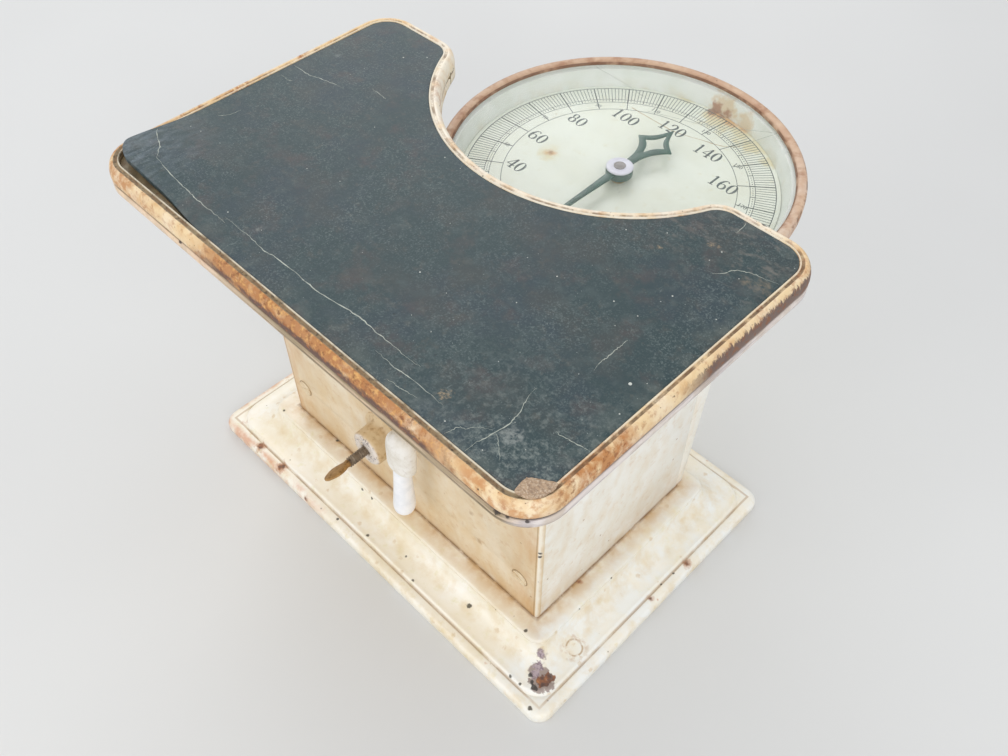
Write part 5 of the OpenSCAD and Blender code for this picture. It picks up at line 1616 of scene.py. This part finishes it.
MAT_CRACKS = [
    (0.75, [(-146.5, -139.0), (-141.7, -142.3), (-134.7, -145.2), (-129.2, -149.4), (-126.5, -152.2)]),
    (0.75, [(-126.5, -152.2), (-117.9, -153.3), (-107.8, -154.1), (-98.4, -154.6), (-89.9, -155.1),
            (-81.9, -155.3), (-72.4, -155.2), (-63.6, -155.6)]),
    (0.8, [(-66.7, -153.1), (-50.5, -153.0), (-42.4, -153.2), (-33.7, -154.0), (-26.7, -152.9),
           (-9.9, -152.6), (-2.1, -152.9), (10.7, -152.4), (22.9, -150.5), (32.9, -150.0), (41.9, -150.5),
           (50.1, -150.4), (59.9, -150.8), (69.3, -150.2)]),
    (0.6, [(48.9, -157.5), (57.7, -157.7), (62.6, -158.0), (70.7, -157.0), (82.9, -157.3), (90.8, -157.3)]),
    (0.35, [(63.6, -164.6), (68.0, -163.7), (71.9, -163.9), (76.0, -162.8), (80.3, -162.3)]),
    (0.7, [(111.1, -124.3), (112.2, -131.5), (114.8, -137.3), (115.5, -141.5), (116.0, -145.5),
           (114.9, -151.6), (113.9, -157.9), (113.1, -160.8), (113.2, -166.6)]),
    (0.4, [(115.4, -152.2), (117.8, -153.4), (120.7, -155.8), (125.9, -160.8)]),
    (0.4, [(101.2, -166.6), (101.8, -164.1), (103.0, -160.3), (105.5, -159.4), (106.4, -157.3),
           (109.9, -153.9), (114.0, -152.0)]),
    (0.7, [(120.5, -78.0), (120.5, -82.1), (120.5, -86.1), (120.7, -91.5), (120.3, -95.0),
           (121.6, -100.9)]),
    (0.65, [(131.5, -134.6), (133.8, -135.2), (138.6, -134.1), (142.9, -133.4), (147.3, -132.8)]),
    (0.6, [(121.4, -20.3), (124.9, -16.3), (127.6, -11.4), (133.0, -8.1), (138.8, -6.5), (147.0, -4.6)]),
    (0.4, [(112.2, 18.6), (112.9, 14.8), (112.9, 9.7)]),
    (0.7, [(-146.5, -51.3), (-135.9, -51.4), (-129.2, -50.3), (-121.7, -48.2), (-109.0, -45.6)]),
    (0.45, [(-97.9, -35.4), (-92.0, -35.5), (-84.4, -36.2)]),
    (0.4, [(-144.1, -61.9), (-137.8, -62.7), (-134.6, -61.3)]),
    (0.4, [(-138.1, -108.8), (-134.9, -106.2), (-133.1, -102.1), (-132.6, -97.1)]),
]
MAT_FLECKS = [
    (136.8, -95.8), (141.6, -90.8), (101.3, -64.7), (111.2, -75.5), (114.5, -64.2), (143.8, -110.7),
    (27.0, -112.6), (45.2, -113.3), (71.5, -95.6), (73.0, -71.0), (44.3, -133.1), (57.6, -133.8),
    (-68.9, -150.0), (-46.9, -146.4), (-131.3, -123.2), (-138.4, -124.6), (-68.2, -102.9), (-48.6, -97.6),
    (-117.1, -34.8), (-108.6, -2.9), (-99.1, 6.5), (-25.6, -48.2), (-70.2, -56.8), (-13.7, -48.7),
    (74.7, -25.0), (12.7, -80.5), (89.9, -13.1), (116.0, -5.7), (115.3, -14.1), (132.1, -14.5),
    (117.7, -44.1), (140.0, -41.9), (117.0, -143.0), (117.5, -161.6), (96.9, -162.3), (129.3, -149.7),
]
MAT_PEEL = [(138.6, -158.9), (141.0, -157.0), (144.5, -154.7), (148.4, -152.4), (149.8, -155.1),
            (149.2, -160.8), (146.4, -165.0), (142.6, -166.6), (139.4, -166.0)]


@dataclass
class Dial(Part):
    """The dial pan, face, scale, bezel and glass."""

    centre: Point = (0, DIAL_Y, FACE_TOP)
    full: int = 250
    print_t: float = 0.06
    bezel_low: float = 190.4
    glass_low: float = 188.45
    glass_top: float = 190.35
    glass_r: float = 102.65

    def make(self) -> None:
        """Builds and dresses the dial."""
        pan = Bench.copy("dial_pan", "dial_dish")
        Bench.finish(pan, "stand", self.shop.pan, "enamel", ["dial_pan"], 35)
        x, y, _ = self.centre
        face = Shell().lathe([(4.5, -1.2), (96.0, -1.2), (96.0, -0.15), (95.85, 0.0), (4.5, 0.0)],
                             upright(self.centre), 192)
        Bench.finish(Bench.mesh("dial_plate", face), "stand", self.shop.dial, "dial_white", ["dial_face"])
        self.scale()
        self.numbers()
        ring = [(101.75, -0.4), (105.4, -0.4), (105.4, -4.5), (108.1, -4.6), (108.2, -4.2), (108.2, 0.4),
                (108.0, 1.2), (107.5, 1.9), (106.6, 2.35), (105.4, 2.4), (103.6, 2.2), (102.7, 1.8),
                (102.45, 1.35), (102.25, 1.5), (101.95, 1.3), (101.75, 0.8)]
        bezel = Shell().lathe(ring, upright((x, y, self.bezel_low)), 192)
        Bench.finish(Bench.mesh("bezel", bezel), "stand", self.shop.bezel, "bezel_paint", ["bezel_ring"], 45)
        r, low, top = self.glass_r, self.glass_low, self.glass_top
        disc = [(0, low), (r - 0.15, low), (r, low + 0.15), (r, top - 0.15), (r - 0.15, top), (0, top)]
        glass = Shell().lathe(disc, upright((x, y, 0)), 160)
        Bench.finish(Bench.mesh("sheet_glass", glass), "stand", self.shop.glass, "glass", ["dial_glass"])
        self.cracks()

    def cracks(self) -> None:
        """Draws the hairline cracks in the glass and the line of dirt on the face under them."""
        rng = random.Random(5)
        lines, dirt = Shell(), Shell()
        for shell, paths, width, low in ((lines, GLASS_CRACKS, 0.28, self.glass_top + 0.01),
                                         (dirt, [DIRT_LINE], 0.6, FACE_TOP)):
            for points in paths:
                path = smooth_path([(x, y, width) for x, y in points], 6)
                line = [(x, y + rng.uniform(-0.12, 0.12), w * rng.uniform(0.4, 1.2)) for x, y, w in path]
                shell.strip(line, low, low + 0.04)
        Bench.finish(Bench.mesh("glass_cracks", lines, 0.0), "stand", self.shop.crazing, "glass")
        Bench.finish(Bench.mesh("face_dirt_line", dirt, 0.0), "stand", self.shop.ochre, "dial_white")

    def scale(self) -> None:
        """Builds the ticks, dots and circles of the scale."""
        rows = (("unit_dots", self.full, 79.3, 79.95, 0.6), ("unit_ticks", self.full, 81.0, 93.0, 0.34),
                ("five_ticks", self.full // 5, 78.0, 81.0, 0.42),
                ("ten_ticks", self.full // 10, 78.0, 93.0, 0.75), ("twenty_ticks", 25, 70.5, 78.0, 0.5))
        for name, count, inner, outer, width in rows:
            self.spokes(name, count, inner, outer, width)
        circles = Shell()
        for r, w in ((93.2, 0.5), (81.0, 0.35), (78.0, 0.35), (70.5, 0.35)):
            ring = [(r - w / 2, 0), (r + w / 2, 0), (r + w / 2, self.print_t), (r - w / 2, self.print_t)]
            circles.lathe(ring, upright(self.centre), 192)
        Bench.finish(Bench.mesh("scale_circles", circles, 0.0), "stand", self.shop.ink, "dial_white")

    def spokes(self, name: str, count: int, inner: float, outer: float, width: float) -> None:
        """Grows a ring of radial lines with Geometry Nodes.

        Args:
            name: The piece's name.
            count: Number of lines in a full turn.
            inner: Inner radius.
            outer: Outer radius.
            width: Width of a line.
        """
        g = Repeater(name + "_rule")
        n = g.size("Count", count)
        near, far = g.size("Inner radius", inner * MM), g.size("Outer radius", outer * MM)
        wide, thick = g.size("Width", width * MM), g.size("Thickness", self.print_t * MM)
        dots = g.add("GeometryNodePoints", {"Count": n})
        index = g.add("GeometryNodeInputIndex", {})
        share = g.add("ShaderNodeMath", {0: index, 1: n}, operation="DIVIDE")
        turn = g.add("ShaderNodeMath", {0: share, 1: 2 * math.pi, 2: -math.pi / 2}, operation="MULTIPLY_ADD")
        both = g.add("ShaderNodeMath", {0: near, 1: far}, operation="ADD")
        mid = g.add("ShaderNodeMath", {0: both, 1: 0.5}, operation="MULTIPLY")
        long = g.add("ShaderNodeMath", {0: far, 1: near}, operation="SUBTRACT")
        cos = g.add("ShaderNodeMath", {0: turn}, operation="COSINE")
        sin = g.add("ShaderNodeMath", {0: turn}, operation="SINE")
        px = g.add("ShaderNodeMath", {0: cos, 1: mid}, operation="MULTIPLY")
        py = g.add("ShaderNodeMath", {0: sin, 1: mid, 2: self.centre[1] * MM}, operation="MULTIPLY_ADD")
        pz = (self.centre[2] + self.print_t / 2) * MM
        place = g.add("ShaderNodeCombineXYZ", {0: px, 1: py, 2: pz})
        set_at = g.add("GeometryNodeSetPosition", {0: dots, "Position": place})
        bar = g.add("GeometryNodeMeshCube", {0: g.add("ShaderNodeCombineXYZ", {0: long, 1: wide, 2: thick})})
        spin = g.add("ShaderNodeCombineXYZ", {0: 0.0, 1: 0.0, 2: turn})
        spokes = g.add("GeometryNodeInstanceOnPoints", {"Points": set_at, "Instance": bar, "Rotation": spin})
        Bench.finish(g.grow(name, spokes, self.shop.ink), "stand", self.shop.ink, "dial_white")

    def numbers(self) -> None:
        """Builds the numerals: every 20 large, and the tens between them small."""
        shell = Shell()
        for value in range(10, self.full, 10):
            a = -math.pi / 2 - 2 * math.pi * value / self.full
            large = value % 20 == 0
            radius, height = (62.3, 9.6) if large else (74.6, 3.1)
            centre = (radius * math.cos(a), DIAL_Y + radius * math.sin(a))
            Numeral(height).write(shell, str(value), centre, self.centre[2], self.print_t)
        Bench.finish(Bench.mesh("dial_numbers", shell, 0.0), "stand", self.shop.ink, "dial_white")


GLASS_CRACKS = [
    [(-75.5, 130.0), (-61.2, 129.4), (-47.6, 128.8), (-35.6, 126.7), (-28.1, 126.1)],
    [(-20.9, 115.8), (-10.8, 120.0), (0.0, 124.2), (10.7, 128.3), (21.2, 134.5), (32.2, 141.9),
     (43.4, 150.1), (49.7, 153.4)],
    [(49.7, 153.4), (45.6, 141.9), (42.0, 131.5), (38.6, 123.9)],
]
DIRT_LINE = [(-40.7, 126.7), (-22.0, 126.0), (-4.8, 126.1), (11.2, 130.9), (24.9, 135.3), (33.4, 142.3)]


def oval(cx: float, cy: float, rx: float, ry: float, thin: float, thick: float) -> list[Point]:
    """A closed stroke round an oval, thick at its sides and thin at top and bottom."""
    turns = [2 * math.pi * i / 14 for i in range(15)]
    return [(cx + rx * math.cos(a), cy + ry * math.sin(a), thin + (thick - thin) * abs(math.cos(a)) ** 1.6)
            for a in turns]


SIX = [(0.51, 0.86, 0.11), (0.43, 0.955, 0.05), (0.29, 0.93, 0.08), (0.14, 0.71, 0.13), (0.08, 0.42, 0.16),
       (0.13, 0.14, 0.12), (0.30, 0.03, 0.05), (0.47, 0.13, 0.12), (0.52, 0.30, 0.15), (0.46, 0.48, 0.11),
       (0.32, 0.56, 0.05), (0.17, 0.48, 0.05), (0.11, 0.36, 0.04)]
GLYPHS: dict[str, list[list[Point]]] = {
    "0": [oval(0.31, 0.5, 0.225, 0.46, 0.045, 0.16)],
    "1": [[(0.30, 0.97, 0.13), (0.30, 0.5, 0.14), (0.30, 0.03, 0.14)],
          [(0.14, 0.82, 0.03), (0.28, 0.93, 0.08)], [(0.12, 0.025, 0.05), (0.48, 0.025, 0.05)]],
    "2": [[(0.11, 0.72, 0.13), (0.13, 0.88, 0.07), (0.29, 0.965, 0.055), (0.45, 0.88, 0.12),
           (0.50, 0.70, 0.16), (0.40, 0.47, 0.12), (0.22, 0.24, 0.07), (0.07, 0.07, 0.05)],
          [(0.06, 0.07, 0.07), (0.28, 0.08, 0.13), (0.46, 0.06, 0.10), (0.55, 0.22, 0.04)]],
    "3": [[(0.11, 0.80, 0.12), (0.17, 0.93, 0.06), (0.30, 0.965, 0.05), (0.45, 0.86, 0.12),
           (0.46, 0.70, 0.14), (0.38, 0.57, 0.07), (0.24, 0.525, 0.04)],
          [(0.24, 0.525, 0.04), (0.42, 0.47, 0.09), (0.52, 0.29, 0.15), (0.47, 0.12, 0.13),
           (0.30, 0.03, 0.05), (0.14, 0.08, 0.06), (0.09, 0.20, 0.12)]],
    "4": [[(0.42, 0.97, 0.05), (0.22, 0.62, 0.05), (0.03, 0.30, 0.05)],
          [(0.02, 0.30, 0.06), (0.60, 0.30, 0.06)],
          [(0.42, 0.97, 0.13), (0.42, 0.5, 0.14), (0.42, 0.03, 0.14)],
          [(0.27, 0.025, 0.05), (0.57, 0.025, 0.05)]],
    "5": [[(0.14, 0.91, 0.12), (0.32, 0.91, 0.12), (0.50, 0.95, 0.05)],
          [(0.13, 0.95, 0.04), (0.11, 0.52, 0.04)],
          [(0.11, 0.52, 0.04), (0.28, 0.60, 0.06), (0.46, 0.50, 0.12), (0.52, 0.30, 0.15),
           (0.46, 0.12, 0.12), (0.28, 0.03, 0.05), (0.13, 0.08, 0.06), (0.08, 0.20, 0.12)]],
    "6": [SIX],
    "7": [[(0.08, 0.78, 0.04), (0.10, 0.90, 0.10), (0.34, 0.90, 0.12), (0.55, 0.93, 0.07)],
          [(0.54, 0.92, 0.05), (0.37, 0.55, 0.08), (0.29, 0.04, 0.15)]],
    "8": [oval(0.31, 0.735, 0.165, 0.215, 0.045, 0.13), oval(0.31, 0.275, 0.205, 0.245, 0.045, 0.15)],
    "9": [[(0.62 - x, 1 - y, w) for x, y, w in SIX]],
}


@dataclass
class Numeral:
    """Numerals drawn with a broad nib: thick upright strokes, hairlines and small serifs."""

    height: float

    def write(self, shell: Shell, text: str, centre: Flat, z: float, thick: float) -> None:
        """Adds a number's strokes to a shell.

        Args:
            shell: The shell that takes them.
            text: The number.
            centre: Its middle.
            z: Height of the dial's face.
            thick: Height of the print.
        """
        step = 0.66
        start = centre[0] - self.height * step * len(text) / 2
        for k, digit in enumerate(text):
            for stroke in GLYPHS[digit]:
                path = [(start + self.height * (k * step + 0.02 + x), centre[1] + self.height * (y - 0.5),
                         w * self.height) for x, y, w in smooth_path(stroke, 4)]
                shell.strip(path, z, z + thick)


@dataclass
class Hand(Part):
    """The dial hand: a long taper, an open diamond with hollow sides, and the cap on its hub."""

    low: float = 184.6
    blade: float = 88
    tip: float = 52
    neck: float = 14
    half: float = 13
    thick: float = 1.2
    neck_w: float = 5.4

    def diamond(self, low: float, high: float, half: float) -> list[Flat]:
        """A four-pointed outline with hollow sides.

        Args:
            low: Place of its near point, from the hub.
            high: Place of its far point.
            half: Half of its width.

        Returns:
            The outline's points.
        """
        mid = (low + high) / 2
        corners = [(0, high), (-half, mid), (0, low), (half, mid)]
        out = []
        for i, a in enumerate(corners):
            b = corners[(i + 1) % 4]
            for k in range(10):
                t = k / 10
                px, py = a[0] + (b[0] - a[0]) * t, a[1] + (b[1] - a[1]) * t
                pull = 0.9 * t * (1 - t)
                out.append((px - px * pull, py + (mid - py) * pull))
        return out

    def drawn_out(self) -> list[Flat]:
        """The diamond's outline, whose lower sides sweep down into the neck.

        Returns:
            The outline's points.
        """
        upper = self.diamond(self.neck, self.tip, self.half)
        mid, foot, bend = (self.neck + self.tip) / 2, (self.neck_w / 2, self.neck - 2), (3.5, 25.0)
        sweep = []
        for k in range(10):
            t = k / 9
            a, b, c = (1 - t) ** 2, 2 * t * (1 - t), t * t
            sweep.append((a * self.half + b * bend[0] + c * foot[0], a * mid + b * bend[1] + c * foot[1]))
        return upper[:10] + [(-x, y) for x, y in sweep] + sweep[:0:-1] + upper[30:31] + upper[30:]

    def make(self) -> None:
        """Builds and dresses the hand."""
        top = self.low + self.thick
        shell = Shell()
        outer = self.drawn_out()
        inner = self.diamond(self.neck + 7.2, self.tip - 7.0, self.half - 5.6)
        rings = [[(x, DIAL_Y + y, z) for x, y in flat]
                 for flat, z in ((outer, self.low), (outer, top), (inner, top), (inner, self.low))]
        shell.loft(rings, loop=True)
        blade = [(0.0, -self.blade, 1.2), (0.0, -60, 2.3), (0.0, -30, 3.8), (0.0, -8, 5.4), (0.0, 0.0, 6.2)]
        neck = [(0.0, 0.0, 6.2), (0.0, 6.0, 5.6), (0.0, self.neck - 1.5, self.neck_w)]
        for path in (blade, neck):
            shell.strip([(x, DIAL_Y + y, w) for x, y, w in smooth_path(path, 6)], self.low, top)
        piece = Bench.bevel(Bench.mesh("hand_blade", shell), 0.25, 2)
        Bench.finish(piece, "pointer", self.shop.hand, "pointer_green", ["pointer"])
        hub = [(2.0, -3.2), (7.6, -3.2), (8.1, -2.8), (8.2, -2.0), (8.2, 1.2), (7.9, 1.7), (7.4, 1.9),
               (2.0, 1.9)]
        barrel = Bench.mesh("hand_hub", Shell().lathe(hub, upright((0, DIAL_Y, self.low)), 64))
        Bench.finish(barrel, "pointer", self.shop.hand, "pointer_green")
        disc = [(0, 0.85), (2.05, 0.85), (2.05, 0.0), (7.9, 0.0), (8.2, 0.3), (8.15, 0.8), (7.8, 1.1),
                (6.8, 1.2), (3.7, 1.15), (3.5, 0.95), (3.2, 0.95), (3.1, 1.15), (2.8, 1.4), (0, 1.48)]
        cap = Bench.mesh("hand_cap", Shell().lathe(disc, upright((0, DIAL_Y, self.low + 1.9)), 64))
        Bench.finish(cap, "pointer", self.shop.cap, "cap_white", ["pointer_cap"])
        disc = [(0, 1.15), (3.5, 1.15), (3.6, 1.4), (3.4, 1.6), (1.4, 1.66), (0, 1.66)]
        button = Bench.mesh("cap_button", Shell().lathe(disc, upright((0, DIAL_Y, self.low + 1.9)), 48))
        Bench.finish(button, "pointer", self.shop.button, "cap_white")


@dataclass
class ZeroScrew(Part):
    """The thumb screw: a threaded shank and a flat, leaf-shaped thumb end."""

    mouth: Point = (-15, FRONT_Y - 15, 81)
    diameter: float = 6.35
    out: float = 30
    lean: float = -30
    pitch: float = 1.25
    hidden: float = 14

    def make(self) -> None:
        """Builds and dresses the screw."""
        thread_end = 0.42 * self.out
        core = self.diameter / 2 - 0.5
        shank = [(0, -31.4), (core, -31.4), (core, thread_end - 0.6), (core - 0.5, thread_end),
                 (0, thread_end)]
        piece = Bench.mesh("screw_shank", Shell().lathe(shank, forwards(self.mouth), 48))
        Bench.finish(piece, "zero_screw", self.shop.thread, "bronze", ["zero_screw"])
        self.thread(core, thread_end)
        self.thumb(thread_end)

    def thread(self, core: float, end: float) -> None:
        """Winds the thread round the shank with Geometry Nodes.

        Args:
            core: Radius of the shank's core.
            end: Where the thread ends outside the boss.
        """
        length = end + self.hidden
        g = Repeater("thread_rule")
        coil = g.wind(length / self.pitch, core + 0.02, length, 0.48, 24, 3)
        at = Vector(self.mouth) * MM + Vector((0, self.hidden * MM, 0))
        put = g.add("GeometryNodeTransform", {"Geometry": coil, "Translation": at,
                                              "Rotation": (math.pi / 2, 0, 0)})
        piece = g.grow("screw_thread", put, self.shop.thread)
        Bench.finish(piece, "zero_screw", self.shop.thread, "bronze", sharp=60)

    def thumb(self, start: float) -> None:
        """Builds the thumb end as a loft of lens-shaped sections.

        Args:
            start: Where it starts, from the boss's face.
        """
        a = math.radians(self.lean)
        wide, up = Vector((math.cos(a), 0, -math.sin(a))), Vector((math.sin(a), 0, math.cos(a)))
        run = self.out - start
        stations = [(-1.0, 2.2, 2.2), (0.6, 2.4, 2.2), (2.2, 2.9, 1.7), (4.2, 4.3, 1.5), (6.8, 5.3, 1.42),
                    (9.5, 5.6, 1.4), (12.2, 4.9, 1.3), (14.6, 3.7, 1.15), (16.2, 2.6, 0.95),
                    (run - 0.3, 1.4, 0.6), (run, 0.3, 0.3)]
        rings = []
        for s, w, t in smooth_path(stations, 4):
            ring = []
            for k in range(24):
                b = 2 * math.pi * k / 24
                c, d = math.cos(b), math.sin(b)
                p = wide * w * math.copysign(abs(c) ** 0.8, c) + up * t * math.copysign(abs(d) ** 0.9, d)
                ring.append((self.mouth[0] + p.x, self.mouth[1] - start - s, self.mouth[2] + p.z))
            rings.append(ring)
        piece = Bench.mesh("screw_thumb", Shell().loft(rings))
        Bench.finish(piece, "zero_screw", self.shop.bronze, "bronze", sharp=60)


@dataclass
class LockLever(Part):
    """The hanging lever: a flat oval collar on its shaft and a handle that thickens to its end."""

    pivot: Point = (17, FRONT_Y - 15, 118)
    tip: float = 52
    slant: float = 0.065

    def rings(self, stations: Sequence[tuple[float, ...]], flat: float) -> list[list[Point]]:
        """Oval rings round the lever's slanting middle line.

        Args:
            stations: Height, half width and half depth of each ring.
            flat: Power under 1 that makes the ovals squarer.

        Returns:
            The rings, from the first station to the last.
        """
        x, y, _ = self.pivot
        out = []
        for z, wide, deep in smooth_path(stations, 4):
            ring = []
            for k in range(48):
                c, s = math.cos(2 * math.pi * k / 48), math.sin(2 * math.pi * k / 48)
                ring.append((x + self.slant * (z - self.tip) + wide * math.copysign(abs(c) ** flat, c),
                             y + deep * math.copysign(abs(s) ** flat, s), z))
            out.append(ring)
        return out

    def make(self) -> None:
        """Builds and dresses the handle and its collar."""
        grip = [(52.0, 0.1, 0.1), (52.25, 2.4, 2.4), (53.2, 4.5, 4.5), (55.0, 5.9, 5.9), (58.0, 6.6, 6.6),
                (62.0, 6.7, 6.7), (75.0, 6.0, 6.0), (90.0, 5.4, 5.4), (97.5, 5.2, 5.2), (99.4, 4.9, 4.7),
                (102.0, 4.6, 4.2)]
        piece = Bench.mesh("lever_handle", Shell().loft(self.rings(grip, 1.0)))
        Bench.finish(piece, "lock", self.shop.handle, "handle_white", ["lock_lever"], 60)
        head = [(99.9, 5.4, 3.6), (100.1, 7.4, 4.8), (101.0, 9.2, 5.6), (103.0, 10.0, 6.0),
                (110.0, 10.2, 6.0), (118.0, 10.4, 6.0), (124.0, 9.5, 5.8), (128.0, 7.5, 5.0),
                (130.5, 4.0, 3.0), (131.2, 1.6, 1.2), (131.3, 0.1, 0.1)]
        collar = Bench.mesh("lever_collar", Shell().loft(self.rings(head, 0.86)))
        Bench.finish(collar, "lock", self.shop.collar, "handle_white", sharp=60)


@dataclass
class Works(Part):
    """The levers, spring and dial drive inside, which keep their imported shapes."""

    iron: tuple[str, ...] = ("long_lever", "short_lever", "long_lever_stands", "short_lever_stands",
                             "platform_posts", "dial_bracket", "rocker_hanger", "rocker_arms", "zero_arms",
                             "zero_shaft_brackets", "lock_cam")
    steel: tuple[str, ...] = ("post_screws", "long_lever_edges", "short_lever_edges", "lever_links",
                              "spring_yoke", "transfer_link", "rocker_shaft", "pointer_shaft", "swivel_pad",
                              "zero_shaft", "lock_shaft")
    brass: tuple[str, ...] = ("rack", "rack_guides", "pinion", "pointer_footstep", "face_bush")
    spring: Flat = (68, -56.15)
    spring_wire: float = 1.1
    spring_mean: float = 7.5
    spring_turns: float = 9.0

    def make(self) -> None:
        """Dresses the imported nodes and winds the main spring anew."""
        groups = ((self.iron, self.shop.iron), (self.steel, self.shop.steel), (self.brass, self.shop.brass))
        for names, finish in groups:
            for name in names:
                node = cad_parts[name]
                node.data.materials.clear()
                node.data.materials.append(finish)
                LOG.info("%s dressed", name)
        self.coil()

    def coil(self) -> None:
        """Winds the main spring with Geometry Nodes, between its packed ends."""
        low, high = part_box("main_spring")
        wire = self.spring_wire
        length = (high.z - low.z) / MM - 2 * wire
        g = Repeater("spring_rule")
        coil = g.wind(self.spring_turns, self.spring_mean, length, wire, 32, 12)
        at = Vector((self.spring[0] * MM, self.spring[1] * MM, low.z + wire * MM))
        put = g.add("GeometryNodeTransform", {"Geometry": coil, "Translation": at})
        Bench.finish(g.grow("wound_spring", put, self.shop.steel), "zero_rocker", self.shop.steel, "steel",
                     ["main_spring"])


@dataclass
class Studio:
    """A plain pale floor, soft light and the camera at the photograph's angle."""

    eye: Point = (277.7, -311.05, 550.2)
    look: Point = (-0.4493, 0.4524, -0.7704)
    lens: float = 34.71

    def make(self) -> None:
        """Sets up the floor, the lights and the camera."""
        floor = Coat("pale studio floor", "#dcdcda", 0.9)
        floor.cover("#d6d6d4", floor.blotches(400, 0.4, 0.7, 2), 0.6)
        ground = Bench.mesh("studio_floor", Shell().box((-4000, -4000, -20), (4000, 4000, -0.05)))
        ground.data.materials.append(floor.done())
        world = bpy.data.worlds.new("studio")
        bpy.context.scene.world = world
        world.use_nodes = True
        sky = world.node_tree.nodes["Background"]
        sky.inputs["Color"].default_value = linear("#f4f6fa")
        sky.inputs["Strength"].default_value = 0.78
        self.lamp("key", (-1.3, 0.9, 1.35), 1.3, 11)
        self.lamp("fill", (1.3, -0.9, 1.2), 1.2, 11)
        self.lamp("front", (-0.3, -1.5, 0.8), 1.0, 5)
        cam = bpy.data.cameras.new("photo_camera")
        cam.lens, cam.sensor_width = self.lens, 36
        cam.clip_start, cam.clip_end = 0.01, 50
        eye = placed("photo_camera", cam)
        eye.location = Vector(self.eye) * MM
        eye.rotation_euler = Vector(self.look).to_track_quat("-Z", "Y").to_euler()
        bpy.context.scene.camera = eye
        bpy.context.scene.view_settings.view_transform = "Standard"

    def lamp(self, name: str, at: Point, size: float, power: float) -> None:
        """Hangs a soft square lamp that looks at the object.

        Args:
            name: The lamp's name.
            at: Its place in metres.
            size: Its side in metres.
            power: Its power in watts.
        """
        data = bpy.data.lights.new(name, "AREA")
        data.shape, data.size, data.energy = "SQUARE", size, power
        lamp = placed(name, data)
        lamp.location = at
        lamp.rotation_euler = (Vector((0, 0, 0.1)) - Vector(at)).to_track_quat("-Z", "Y").to_euler()


def main() -> None:
    """Builds the sub-assemblies in order, then the studio."""
    logging.basicConfig(level=logging.INFO, format="%(name)s: %(message)s")
    shop = Shop()
    for kind in (Plinth, Casing, Platform, Dial, Hand, ZeroScrew, LockLever, Works):
        kind(shop).make()
        LOG.info("%s is done", kind.__name__)
    Studio().make()
    bpy.context.view_layer.update()


if __name__ == "__main__":
    main()
